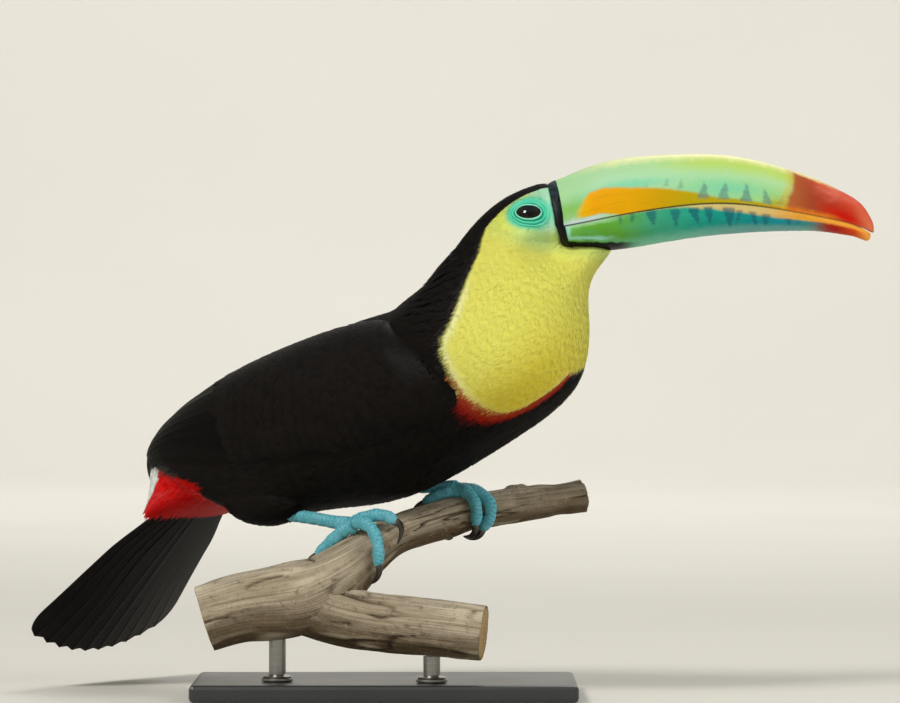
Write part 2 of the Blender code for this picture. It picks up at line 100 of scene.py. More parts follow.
class Value:
    """A shader socket that takes part in Python arithmetic."""

    __add__ = __radd__ = operator("ADD")
    __sub__, __rsub__ = operator("SUBTRACT"), operator("SUBTRACT", True)
    __mul__ = __rmul__ = operator("MULTIPLY")
    __truediv__ = operator("DIVIDE")

    def __init__(self, paint: Paint, socket: Socket) -> None:
        """Hold a socket and the material it belongs to."""
        self.paint, self.socket = paint, socket

    def math(self, operation: str, *others: object, swap: bool = False) -> Value:
        """Add a Math node on this value.

        Args:
            operation: The Math node's operation.
            others: The other values, in socket order.
            swap: Put the first other value before this one.

        Returns:
            The node's result.
        """
        items = [self, *others]
        if swap:
            items.reverse()
        made = self.paint.node("Math", {"operation": operation}, dict(enumerate(items)))
        return Value(self.paint, made.outputs[0])

    def step(self, low: float, high: float) -> Value:
        """Rise smoothly from 0 at low to 1 at high.

        Args:
            low: Where the rise starts.
            high: Where it ends.

        Returns:
            The share.
        """
        inputs = {"Value": self, "From Min": low, "From Max": high}
        made = self.paint.node("MapRange", {"interpolation_type": "SMOOTHSTEP"}, inputs)
        return Value(self.paint, made.outputs[0])

    def size(self) -> Value:
        """Drop the sign."""
        return self.math("ABSOLUTE")

    def positive(self) -> Value:
        """Raise what is below nothing to nothing."""
        return self.math("MAXIMUM", 0.0)

    def wave(self) -> Value:
        """Give a sine that runs between 0 and 1."""
        return self.math("SINE") * 0.5 + 0.5

    def bump(self, centre: float, reach: float) -> Value:
        """Peak at a centre and fall to nothing a reach away from it."""
        return (1 - (self - centre).size() / reach).positive().step(0.0, 1.0)


def rgb(code: str) -> Colour:
    """Turn a display colour into linear values.

    Args:
        code: Two hexadecimal digits for each channel.

    Returns:
        Linear red, green and blue.
    """
    parts = [int(code[i:i + 2], 16) / 255 for i in (0, 2, 4)]
    return tuple(v / 12.92 if v <= 0.04045 else ((v + 0.055) / 1.055) ** 2.4 for v in parts)


class Paint:
    """One material and the few ways that nodes are added to it."""

    def __init__(self, name: str) -> None:
        """Start a material that holds only a Principled shader."""
        self.material = bpy.data.materials.new(name)
        self.material.use_nodes = True
        self.tree = self.material.node_tree
        self.shader = self.tree.nodes["Principled BSDF"]

    def node(self, kind: str, settings: dict | None = None, inputs: dict | None = None) -> bpy.types.Node:
        """Add a node.

        Args:
            kind: The node's type.
            settings: Its properties, set before the inputs.
            inputs: Values or links by socket name or index.

        Returns:
            The new node.
        """
        made = self.tree.nodes.new("ShaderNode" + kind)
        for key, value in (settings or {}).items():
            setattr(made, key, value)
        for key, value in (inputs or {}).items():
            self.feed(made.inputs[key], value)
        return made

    def feed(self, socket: Socket, value: object) -> None:
        """Link a value to a socket, or set the socket's own number or colour.

        Args:
            socket: The input.
            value: A link, a number, numbers or a colour's six digits.
        """
        if isinstance(value, (Value, Socket)):
            self.tree.links.new(getattr(value, "socket", value), socket)
        else:
            socket.default_value = (*rgb(value), 1.0) if isinstance(value, str) else value

    def attribute(self, name: str) -> Value:
        """Read a number that the mesh carries at each point."""
        return Value(self, self.node("Attribute", {"attribute_name": name}).outputs["Fac"])

    def attributes(self, *names: str) -> list[Value]:
        """Read several of the mesh's numbers."""
        return [self.attribute(name) for name in names]

    def place(self, scale: Colour | None = None, vector: Socket | None = None) -> Socket:
        """Give a pattern's coordinates.

        Args:
            scale: How much they are scaled along each axis, if at all.
            vector: What is scaled, or None for Object coordinates.

        Returns:
            The coordinates.
        """
        vector = vector or self.node("TexCoord").outputs["Object"]
        return self.node("Mapping", None, {"Vector": vector, "Scale": scale}).outputs[0] if scale else vector

    def noise(self, vector: Socket, scale: float, detail: float = 4.0, rough: float = 0.5) -> Value:
        """Add a noise pattern with values from 0 to 1.

        Args:
            vector: The pattern's coordinates.
            scale: Its fineness.
            detail: How many finer layers it has.
            rough: How strong they are.

        Returns:
            The pattern.
        """
        inputs = {"Vector": vector, "Scale": scale, "Detail": detail, "Roughness": rough}
        return Value(self, self.node("TexNoise", None, inputs).outputs[0])

    def cells(self, vector: Socket, scale: float) -> Value:
        """Add a cell pattern, as the distance from each cell's middle."""
        return Value(self, self.node("TexVoronoi", None, {"Vector": vector, "Scale": scale}).outputs[0])

    def layers(self, under: object, *coats: tuple[object, object]) -> Socket:
        """Lay colours over each other by their masks.

        Args:
            under: The lowest colour.
            coats: A mask, or the name of the mesh's number that is one, and a colour for each layer.

        Returns:
            The topmost colour.
        """
        for mask, over in coats:
            mask = self.attribute(mask) if isinstance(mask, str) else mask
            under = self.node("Mix", {"data_type": "RGBA"}, {0: mask, 6: under, 7: over}).outputs[2]
        return under

    def ramp(self, value: Value, stops: dict[float, str]) -> Socket:
        """Turn a value into a colour.

        Args:
            value: What is looked up.
            stops: Colours by their places from 0 to 1.

        Returns:
            The colour.
        """
        made = self.node("ValToRGB", None, {0: value})
        elements = made.color_ramp.elements
        while len(elements) < len(stops):
            elements.new(0.5)
        for element, (place, code) in zip(elements, stops.items()):
            element.position, element.color = place, (*rgb(code), 1.0)
        return made.outputs[0]

    def finish(self, colour: object, rough: object, relief: Value | None = None, height: float = 0.1,
               **fixed: object) -> Material:
        """Connect the shader.

        Args:
            colour: Base colour.
            rough: Roughness, as a value or a number.
            relief: Height pattern for the bump, if any.
            height: The relief's depth in millimetres.
            fixed: Constant sockets, with underscores for spaces.

        Returns:
            The material.
        """
        wanted = {"Base Color": colour, "Roughness": rough}
        wanted.update({key.replace("_", " "): value for key, value in fixed.items()})
        if relief is not None:
            bump = self.node("Bump", None, {"Height": relief, "Distance": height * MM, "Strength": 1.0})
            wanted["Normal"] = bump.outputs[0]
        for key, value in wanted.items():
            self.feed(self.shader.inputs[key], value)
        return self.material


# ---------------------------------------------------------------- arrays and meshes

def unit(vector: Array) -> Array:
    """Scale vectors to length one."""
    return vector / np.maximum(np.linalg.norm(vector, axis=-1, keepdims=True), 1e-12)


def step(value: Array, low: float, high: float) -> Array:
    """Rise smoothly from 0 at low to 1 at high."""
    share = np.clip((value - low) / (high - low), 0.0, 1.0)
    return share * share * (3 - 2 * share)


def bell(value: Array, centre: float, reach: float) -> Array:
    """Peak at 1 on the centre and die away by about twice the reach."""
    return np.exp(-((value - centre) / reach) ** 2)


def paired(a: Array, b: Array) -> list[Array]:
    """Bring two parameters to one shape."""
    return np.broadcast_arrays(np.asarray(a, float), np.asarray(b, float))


def circle(count: int) -> Array:
    """Give the angles of a section's points in radians."""
    return np.arange(count) * 2 * math.pi / count


def run_of(path: Array) -> Array:
    """Give the distance along a path at each of its points."""
    return np.concatenate([[0], np.cumsum(np.linalg.norm(np.diff(path, axis=0), axis=1))])


def rows_of(table: dict) -> Array:
    """Turn a named table of numbers and tuples into rows."""
    return np.array([np.hstack([np.ravel(item) for item in row]) for row in table.values()], float)


def smooth(table: Array, place: Array) -> Array:
    """Read between a table's rows with the natural cubic spline through them.

    Args:
        table: One row for each whole place.
        place: Where to read, as any array.

    Returns:
        A row for each place.
    """
    place = np.asarray(place, float)
    count = len(table)
    system, wanted = np.eye(count), np.zeros_like(table)
    for i in range(1, count - 1):
        system[i, i - 1:i + 2] = (1, 4, 1)
        wanted[i] = 6 * (table[i - 1] - 2 * table[i] + table[i + 1])
    bend = np.linalg.solve(system, wanted)
    low = np.clip(np.floor(place).astype(int), 0, count - 2)
    far = (place - low)[..., None]
    near = 1 - far
    line = near * table[low] + far * table[low + 1]
    return line + ((near ** 3 - near) * bend[low] + (far ** 3 - far) * bend[low + 1]) / 6


@dataclass
class Shape:
    """Points, faces and the numbers that each point carries, ready to become a mesh."""

    points: Array
    faces: list[Array]
    marks: Marks = field(default_factory=dict)
    charts: Marks = field(default_factory=dict)
    normals: Array | None = None

    def join(self, others: Sequence[Shape]) -> Shape:
        """Append other shapes that carry the same marks and charts.

        Args:
            others: The shapes.

        Returns:
            This shape.
        """
        shapes = [self, *others]
        starts = np.cumsum([0] + [len(one.points) for one in shapes])
        self.faces = [block + start for one, start in zip(shapes, starts) for block in one.faces]
        for store in ("marks", "charts"):
            for key in getattr(self, store):
                getattr(self, store)[key] = np.concatenate([getattr(one, store)[key] for one in shapes])
        self.points = np.concatenate([one.points for one in shapes])
        return self

    def mesh(self, name: str, material: Material, sharp: float | None = None) -> bpy.types.Object:
        """Make the mesh and its object.

        Args:
            name: The object's name.
            material: Its material.
            sharp: Angle in degrees above which an edge stays crisp.

        Returns:
            The object.
        """
        mesh = bpy.data.meshes.new(name)
        counts = np.concatenate([np.full(len(block), block.shape[1]) for block in self.faces])
        corners = np.concatenate([block.ravel() for block in self.faces])
        mesh.vertices.add(len(self.points))
        mesh.vertices.foreach_set("co", (self.points * MM).astype(np.float32).ravel())
        mesh.loops.add(len(corners))
        mesh.loops.foreach_set("vertex_index", corners.astype(np.int32))
        mesh.polygons.add(len(counts))
        starts = np.concatenate([[0], np.cumsum(counts)[:-1]])
        mesh.polygons.foreach_set("loop_start", starts.astype(np.int32))
        mesh.polygons.foreach_set("use_smooth", np.ones(len(counts), bool))
        for key, values in self.marks.items():
            layer = mesh.attributes.new(key, "FLOAT", "POINT")
            layer.data.foreach_set("value", np.asarray(values, np.float32).ravel())
        for key, values in self.charts.items():
            layer = mesh.uv_layers.new(name=key)
            layer.data.foreach_set("uv", values[corners].astype(np.float32).ravel())
        mesh.update(calc_edges=True)
        mesh.validate()
        if sharp is not None:
            mesh.set_sharp_from_angle(angle=math.radians(sharp))
        if self.normals is not None:
            mesh.normals_split_custom_set_from_vertices(self.normals.tolist())
        mesh.materials.append(material)
        made = bpy.data.objects.new(name, mesh)
        bpy.context.scene.collection.objects.link(made)
        return made

    def piece(self, name: str, material: Material, slot: str, stands_for: Sequence[str],
              sharp: float | None = None) -> None:
        """Put the shape on the model as a piece.

        Args:
            name: The object's name.
            material: Its material.
            slot: A material slot's name; not used.
            stands_for: The solids that it replaces.
            sharp: Angle in degrees above which an edge stays crisp.
        """
        made = self.mesh(name, material, sharp)
        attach(made, "root")
        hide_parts(*stands_for)
        LOG.info("%s: %d points, %d faces", name, len(made.data.vertices), len(made.data.polygons))


def grid_faces(rows: int, columns: int, wrap: bool = False) -> Array:
    """List a grid's quads.

    Args:
        rows: Rows of points.
        columns: Points in a row.
        wrap: Whether the last column meets the first.

    Returns:
        Four point numbers for each quad.
    """
    i, j = np.meshgrid(np.arange(rows - 1), np.arange(columns if wrap else columns - 1), indexing="ij")
    k = (j + 1) % columns
    quads = np.stack([i * columns + j, i * columns + k, (i + 1) * columns + k, (i + 1) * columns + j], -1)
    return quads.reshape(-1, 4)


def outward(points: Array, faces: list[Array]) -> list[Array]:
    """Turn a closed shape's faces round where they point inwards.

    The sign of the volume under all faces, each taken as a fan of triangles, tells which way the
    whole shape faces.

    Args:
        points: The shape's points.
        faces: Blocks of faces.

    Returns:
        The blocks, turned if need be.
    """
    total = 0.0
    for block in faces:
        first = points[block[:, 0]]
        for k in range(1, block.shape[1] - 1):
            total += np.einsum("ij,ij->", first, np.cross(points[block[:, k]], points[block[:, k + 1]]))
    return faces if total > 0 else [block[:, ::-1] for block in faces]


def tube(rings: Array) -> Shape:
    """Close rings of points into a solid, each end drawn to the ring's middle.

    Args:
        rings: Points by ring and by side.

    Returns:
        The closed shape.
    """
    count, sides = rings.shape[:2]
    points = np.concatenate([rings.reshape(-1, 3), rings[:1].mean(1), rings[-1:].mean(1)])
    j = np.arange(sides)
    k = (j + 1) % sides
    head = np.stack([0 * j + count * sides, k, j], -1)
    tail = np.stack([0 * j + count * sides + 1, (count - 1) * sides + j, (count - 1) * sides + k], -1)
    return Shape(points, outward(points, [grid_faces(count, sides, True), np.concatenate([head, tail])]))


def chart_of(rings: Array, place: Array, angle: Array) -> Array:
    """Give a tube's points their coordinates on the unwrap, its two end points included.

    Args:
        rings: The tube's rings.
        place: Coordinate along the tube.
        angle: Coordinate round it.

    Returns:
        Two coordinates for each point.
    """
    grid = np.stack(np.broadcast_arrays(place, angle), -1)
    return np.concatenate([grid.reshape(-1, 2), grid[:1].mean(1), grid[-1:].mean(1)])


def shell(outer: Array, inner: Array, wrap: bool = False) -> Shape:
    """Join an outer and an inner grid of points along their rims into a solid.

    Args:
        outer: Points by row and column.
        inner: As many points under them.
        wrap: Whether the last column meets the first.

    Returns:
        The closed shape.
    """
    rows, columns = outer.shape[:2]
    size = rows * columns
    points = np.concatenate([outer.reshape(-1, 3), inner.reshape(-1, 3)])
    quads = grid_faces(rows, columns, wrap)
    j = np.arange(columns if wrap else columns - 1)
    k = (j + 1) % columns
    far = (rows - 1) * columns
    rims = [(k, j), (far + j, far + k)]
    if not wrap:
        i = np.arange(rows - 1) * columns
        rims += [(i, i + columns), (i + 2 * columns - 1, i + columns - 1)]
    faces = [quads, quads[:, ::-1] + size, *(np.stack([p, q, size + q, size + p], -1) for p, q in rims)]
    return Shape(points, outward(points, faces))


def sweep(path: Array, radius: Array, sides: int, up: Array) -> Array:
    """Carry a round section along a path.

    Args:
        path: The section's centres.
        radius: Radius at each centre and side, or at each centre.
        sides: Points in a section.
        up: A direction that stays near angle 0 of every section.

    Returns:
        Rings of points.
    """
    ahead = unit(np.gradient(path, axis=0))
    side = unit(np.cross(ahead, up))
    rise = np.cross(side, ahead)
    angle = circle(sides)[None, :, None]
    ring = rise[:, None] * np.cos(angle) + side[:, None] * np.sin(angle)
    return path[:, None] + ring * radius.reshape(len(path), -1)[..., None]


# ---------------------------------------------------------------- the body's form

def heading(degrees: Array | float) -> Array:
    """Give the level direction that is turned from +X toward -Y."""
    turn = np.radians(degrees)
    return np.stack([np.cos(turn), -np.sin(turn), 0 * turn], -1)


def leftward(forward: Array) -> Array:
    """Give the level direction to the left of another."""
    return np.stack([-forward[..., 1], forward[..., 0], 0 * forward[..., 0]], -1)


class Surface:
    """A surface with two parameters that feathers are laid on."""

    facing: float = 1.0
    lie: float = -1.0
    reach: tuple[float, float] = (0.02, 0.02)

    def point(self, a: Array, b: Array) -> Array:
        """Give the surface's points."""
        raise NotImplementedError

    def home(self, a: Array, b: Array) -> Array:
        """Give places on the unwrap of the whole skin."""
        raise NotImplementedError

    def frame(self, a: Array, b: Array) -> tuple[Array, Array, Array]:
        """Measure the surface's slopes over a small reach to both sides.

        Args:
            a: First parameter.
            b: Second parameter.

        Returns:
            The two tangents for a unit step of each parameter, and the outward normal.
        """
        a, b = paired(a, b)
        s, t = self.reach
        first = (self.point(a + s, b) - self.point(a - s, b)) / (2 * s)
        second = (self.point(a, b + t) - self.point(a, b - t)) / (2 * t)
        return first, second, unit(np.cross(first, second)) * self.facing


@dataclass
class BodyForm(Surface):
    """The outer line of trunk, neck and head, as the solids have it.

    A station is a superellipse that hangs between a point of the back and a point of the belly:
    both points, the half width, the heading, the roll and the half angle of the back's dark
    strip. Between stations every number follows a natural cubic spline. Angle 0 is the back, 90
    the bird's left side and 180 the belly. Each swell of the flank is a bell over place and
    angle: its place, its angle, its two reaches and its height.
    """

    axis: tuple[float, float] = (61.0, -34.0)
    squareness: float = 2.2
    flank_swells: tuple = ((3.35, -146.0, 0.85, 22.0, 8.5), (4.2, 143.0, 0.7, 20.0, 2.5))
    base_point: Colour = (76.1, -34.0, 238.0)
    base_normal: Colour = (0.982, 0.0, 0.187)
    bill_half: tuple[float, float, float, float] = (17.8, 219.5, 21.0, 10.0)
    bill_foot: float = 213.2
    tuck_reach: float = 14.0
    throat_reach: float = 12.0
    tuck_softness: float = 1.5
    reach: tuple[float, float] = (0.02, 1.0)
    stations: dict = field(default_factory=lambda: {
        "coverts": ((-189, 91), (-179, 82.5), 35, 32, 0, 95),
        "rear": ((-195, 105), (-157, 90), 28, 32, -8, 95),
        "rump": ((-187, 121), (-149, 85), 34, 32, -9, 95),
        "loin": ((-160, 143.5), (-129, 84), 40, 32, -3, 95),
        "back": ((-120, 163), (-102, 88), 43, 32, 0, 95),
        "mantle": ((-79, 177), (-64, 93.5), 43, 32, 0, 95),
        "shoulder": ((-60, 182), (-20, 113.5), 42, 32, 0, 95),
        "breast": ((-52, 187), (10, 130.5), 41, 29, 0, 85),
        "root": ((-44, 192), (28.5, 148), 38, 22, 0, 74),
        "neck": ((-36, 201), (34, 171), 31.5, 13, 0, 64),
        "upper": ((-27, 211), (34, 191), 27, 5, 0, 54),
        "throat": ((-19, 221), (40, 203), 23.5, 0, 0, 37),
        "face": ((-4, 233.5), (44, 207.5), 20.5, 0, 0, 34),
        "brow": ((17, 241.5), (45.5, 209), 18, 0, 0, 29),
    })

    def __post_init__(self) -> None:
        """Read the table once."""
        self.rows = rows_of(self.stations)

    def point(self, a: Array, b: Array) -> Array:
        """Give the surface's points.

        Args:
            a: Place along the body.
            b: Angle round it in degrees.

        Returns:
            The points.
        """
        a, b = paired(a, b)
        angle, row = np.radians(b), smooth(self.rows, a)
        forward = heading(row[..., 5])
        axis = np.array([*self.axis, 0.0])
        back = axis + row[..., 0:1] * forward + row[..., 1:2] * UP
        belly = axis + row[..., 2:3] * forward + row[..., 3:4] * UP
        half = (back - belly) / 2
        roll = np.radians(row[..., 6:7])
        side = np.cos(roll) * leftward(forward) + np.sin(roll) * unit(half)
        across, rise = (
            (np.sign(wave) * np.abs(wave) ** (2 / self.squareness))[..., None]
            for wave in (np.sin(angle), np.cos(angle))
        )
        out = half * rise + side * (across * row[..., 4:5])
        swell = np.zeros(a.shape)
        for place, turn, long, wide, tall in self.flank_swells:
            off = (b - turn + 180) % 360 - 180
            swell = swell + tall * np.exp(-((a - place) / long) ** 2 - (off / wide) ** 2)
        return self.tuck((back + belly) / 2 + out + unit(out) * swell[..., None])

    def ahead(self, points: Array) -> Array:
        """Give the distance in front of the plane where the bill begins."""
        return (points - np.array(self.base_point)) @ np.array(self.base_normal)

    def tuck(self, points: Array) -> Array:
        """Draw the face in sideways so that it meets the bill's base flush.

        The bill's half width at a height is that of its oval section there. Over the last
        millimetres before the base the face narrows smoothly to it.

        Args:
            points: Points of the untucked form.

        Returns:
            The moved points.
        """
        half, middle, up, down = self.bill_half
        z = points[..., 2]
        high = np.maximum(z, self.bill_foot) - middle
        share = np.clip(np.where(high > 0, high / up, -high / down), 0, 1) ** np.where(high > 0, 1.8, 2.3)
        room = half * np.sqrt(np.clip(1 - share, 0.02, 1))
        off = points[..., 1] - self.axis[1]
        spare = self.tuck_softness * np.logaddexp(0.0, (np.abs(off) - room) / self.tuck_softness)
        reach = self.tuck_reach + self.throat_reach * step(-z, -222.0, -206.0)
        pull = step(self.ahead(points) / reach, -1.0, -0.02) * step(z, 190.0, 209.0)
        narrow = spare / np.maximum(np.abs(off), 3.0)
        return points - np.stack([0 * off, off * narrow * pull, 0 * off], -1)

    def home(self, a: Array, b: Array) -> Array:
        """Unwrap the body: its length across the chart and its round up the chart."""
        return np.stack([a * 0.07 + 0.02, ((b + 180) % 360) / 360 * 0.9 + 0.02], -1)

    def strip(self, a: Array) -> Array:
        """Give the half angle of the dark strip along the back."""
        return np.interp(a, np.arange(len(self.rows)), self.rows[:, 7])


@dataclass
class WingForm(Surface):
    """The outer face of one folded wing, over the body's form.

    The first parameter runs from the wrist to the tip and the second from the upper to the lower
    edge. The wing's face lies on the body's form, raised by a lens-shaped thickness. A station
    is its place along the body, its upper and lower angle and its thickness. Towards the wrist
    a wing may slide forward, drop, swell, thin out, and sink under the breast's feathers.
    """

    body: BodyForm
    side: Side
    slide: float = 0.0
    drop: float = 0.0
    swell: float = 0.0
    wrist_share: float = 1.0
    sink: float = 0.0
    clear: float = 0.6
    edge: float = 0.9
    lie: float = 1.0
    stations: dict = field(default_factory=lambda: {
        "wrist": (6.95, 92, 110, 4.0),
        "bend": (6.7, 70, 126, 7.0),
        "forearm": (6.2, 44, 124, 7.5),
        "coverts": (5.2, 28, 114, 7.0),
        "secondaries": (4.1, 19, 107, 6.0),
        "tertials": (3.1, 13, 98, 5.0),
        "primaries": (2.1, 10, 78, 3.6),
        "tips": (1.1, 14, 50, 2.4),
        "tip": (0.4, 26, 34, 1.6),
    })

    def __post_init__(self) -> None:
        """Read the table once."""
        self.rows = rows_of(self.stations)
        self.facing = -1.0 * self.side

    def lay(self, a: Array, b: Array) -> tuple[Array, Array, Array]:
        """Lay the wing on the body.

        Args:
            a: Station number.
            b: Share of the wing's breadth from its upper edge.

        Returns:
            The place along the body, the angle around it and the wing's thickness.
        """
        row = smooth(self.rows, a)
        front = np.clip(1 - a / 3, 0, 1) ** 1.5
        place = row[..., 0] + self.slide * front
        angle = row[..., 1] + (row[..., 2] - row[..., 1]) * b + self.drop * front
        lens = (1 - np.abs(2 * np.clip(b, 0, 1) - 1) ** 2.5) * (0.55 + 0.5 * b)
        lens = lens * (self.wrist_share + (1 - self.wrist_share) * step(a, 0.0, 0.9))
        thick = self.edge + (row[..., 3] + self.swell * front - self.edge) * lens
        return place, self.side * angle, thick - self.sink * step(place, 6.15, 6.75)

    def at_depth(self, a: Array, b: Array, depth: float | Array) -> Array:
        """Give points under the wing's outer face.

        Args:
            a: Station number.
            b: Share of the breadth.
            depth: Distance under the face.

        Returns:
            The points.
        """
        a, b = paired(a, b)
        place, angle, thick = self.lay(a, b)
        normal = self.body.frame(place, angle)[2]
        return self.body.point(place, angle) + normal * (self.clear + thick - depth)[..., None]

    def point(self, a: Array, b: Array) -> Array:
        """Give points of the outer face."""
        return self.at_depth(a, b, 0.0)

    def home(self, a: Array, b: Array) -> Array:
        """Unwrap the wing where it lies on the body."""
        return self.body.home(*self.lay(a, b)[:2])

    def edges(self, place: Array, samples: int, beyond: float | None) -> tuple[Array, ...]:
        """Read the wing's outline at places of the body.

        Args:
            place: Places along the body.
            samples: How many stations of the wing are compared.
            beyond: Angle behind the tip for the upper edge and, less than nothing, for the lower
                one, or None to keep the tip's own.

        Returns:
            The station there, the upper and the lower angle, and the rearmost and foremost place.
        """
        run = np.linspace(0, len(self.rows) - 1, samples)
        at, top, _ = self.lay(run, 0 * run)
        low = self.lay(run, 0 * run + 1)[1]
        order = np.argsort(at)
        behind = (None, beyond, None if beyond is None else -beyond)
        lines = (np.interp(place, at[order], line[order], left=left)
                 for line, left in zip((run, np.abs(top), np.abs(low)), behind))
        return *lines, at.min(), at.max()

    def down(self, angle: Array) -> Array:
        """Turn an angle round the body into one down from the back on this wing's side."""
        return self.side * ((angle + 180) % 360 - 180)

    def covers(self, place: Array, angle: Array, margin: float) -> Array:
        """Tell which places of the body lie under the wing.

        Args:
            place: Place along the body.
            angle: Angle round it.
            margin: How far inside the wing's outline they have to be, in degrees.

        Returns:
            Whether each one does.
        """
        _, top, low, _, foremost = self.edges(place, 60, 999)
        down = self.down(angle)
        return (down > top + margin) & (down < low - margin) & (place < foremost - margin * 0.02)

    def height(self, place: Array, angle: Array) -> Array:
        """Give how high the wing stands over the body's form, falling softly at its outline.

        Args:
            place: Place along the body.
            angle: Angle round it.

        Returns:
            Heights in millimetres.
        """
        here, top, low, rearmost, foremost = self.edges(place, 160, None)
        share = (self.down(angle) - top) / np.maximum(low - top, 1.0)
        inside = step(share, -0.02, 0.08) * step(1 - share, -0.02, 0.08)
        inside = inside * step(foremost - place, -0.1, 0.3) * step(place - rearmost, -0.05, 0.2)
        return (self.clear + self.lay(here, np.clip(share, 0, 1))[2]) * inside


@dataclass
class EyePlace:
    """Where an eye sits, and a level frame on the face there."""

    body: BodyForm
    side: Side
    place: float = 11.9
    angle: float = 60.0
    radius: float = 7.5
    bulge: float = 1.3

    def __post_init__(self) -> None:
        """Work the frame out from the body's form."""
        at, turn = np.array(self.place), np.array(self.side * self.angle)
        self.origin = self.body.point(at, turn)
        self.outward = self.body.frame(at, turn)[2]
        level = np.array([1.0, 0.0, 0.0])
        self.ahead = unit(level - self.outward * (level @ self.outward))
        self.up = np.cross(self.ahead, self.outward)
        self.up = self.up * np.sign(self.up[2])
        self.centre = self.origin - self.outward * (self.radius - self.bulge)

    def local(self, points: Array) -> tuple[Array, Array, Array]:
        """Give points' distances ahead, up and outward from the eye."""
        shift = points - self.origin
        return shift @ self.ahead, shift @ self.up, shift @ self.outward

    def bare(self, points: Array) -> Array:
        """Give 0 at the eye and 1 at the rim of the bare skin round it."""
        x, y, out = self.local(points)
        return np.hypot((x - 0.5) / 10.0, y / 7.7) + 9.0 * (out < -12.0)


class Grain:
    """Smooth random heights on a lattice, the same at every run."""

    def __init__(self, seed: int, size: int = 64) -> None:
        """Draw the lattice's numbers."""
        self.size = size
        self.table = np.random.default_rng(seed).random((size, size)) * 2 - 1

    def __call__(self, x: Array, y: Array) -> Array:
        """Read between the lattice's numbers with a smooth fade.

        Args:
            x: Place along the lattice's rows.
            y: Place along its columns.

        Returns:
            Heights from -1 to 1.
        """
        i, j = np.floor(x).astype(int), np.floor(y).astype(int)
        u, v = x - i, y - j
        u, v = u * u * (3 - 2 * u), v * v * (3 - 2 * v)
        i, j, k, m = i % self.size, j % self.size, (i + 1) % self.size, (j + 1) % self.size
        near = self.table[i, j] * (1 - u) + self.table[k, j] * u
        far = self.table[i, m] * (1 - u) + self.table[k, m] * u
        return near * (1 - v) + far * v

    def layers(self, x: Array, y: Array) -> Array:
        """Sum three layers of the pattern, each half as tall and half as wide as the last."""
        return sum(self(x * 2 ** n + 7.3 * n, y * 2 ** n) / 2 ** n for n in range(3))


@dataclass
class TailForm(Surface):
    """The upper face of the fanned tail: a slab that droops and curls under at its sides.

    The first parameter runs from the root to the tip and the second from -1 at the bird's right
    edge to 1 at its left edge.
    """

    body: BodyForm
    length: float = 80.0
    round: float = 12.0
    root_half: float = 36.0
    tip_half: float = 58.0
    droop: float = 50.0
    root_thick: float = 9.0
    tip_thick: float = 1.6
    arch: float = 5.0
    gap: float = 0.7
    facing: float = -1.0

    def __post_init__(self) -> None:
        """Work out the tail's own directions."""
        forward, droop = heading(self.body.rows[0, 5]), math.radians(self.droop)
        self.left = leftward(forward)
        self.back = -forward * math.cos(droop) - UP * math.sin(droop)
        self.upper = -np.cross(self.left, self.back)
        self.root = self.body.point(np.zeros(2), np.array([0.0, 180.0])).mean(0)

    def at_depth(self, a: Array, b: Array, depth: float | Array) -> Array:
        """Give points under the upper face.

        The half breadth and the thickness change with a power of the length, and the sides curl
        down with the square of the distance from the middle.

        Args:
            a: Share of the length.
            b: Share of the half breadth.
            depth: Distance under the face.

        Returns:
            The points.
        """
        a, b = paired(a, b)
        run = np.clip(a, 0, None)
        reach = self.gap + a * (self.length + self.round * (1 - b ** 2))
        half = self.root_half + (self.tip_half - self.root_half) * run ** 0.8
        thick = (self.root_thick + (self.tip_thick - self.root_thick) * run ** 0.7) * (1 - 0.45 * b ** 2)
        rise = thick / 2 - self.arch * run * b ** 2 - depth
        moves = ((reach, self.back), (half * b, self.left), (rise, self.upper))
        return self.root + sum(size[..., None] * way for size, way in moves)

    def home(self, a: Array, b: Array) -> Array:
        """Unwrap the tail beside the body."""
        return np.stack([0.96 + 0.02 * a, 0.4 + 0.3 * b], -1)

    def point(self, a: Array, b: Array) -> Array:
        """Give points of the upper face."""
        return self.at_depth(a, b, 0.0)


# ---------------------------------------------------------------- markings

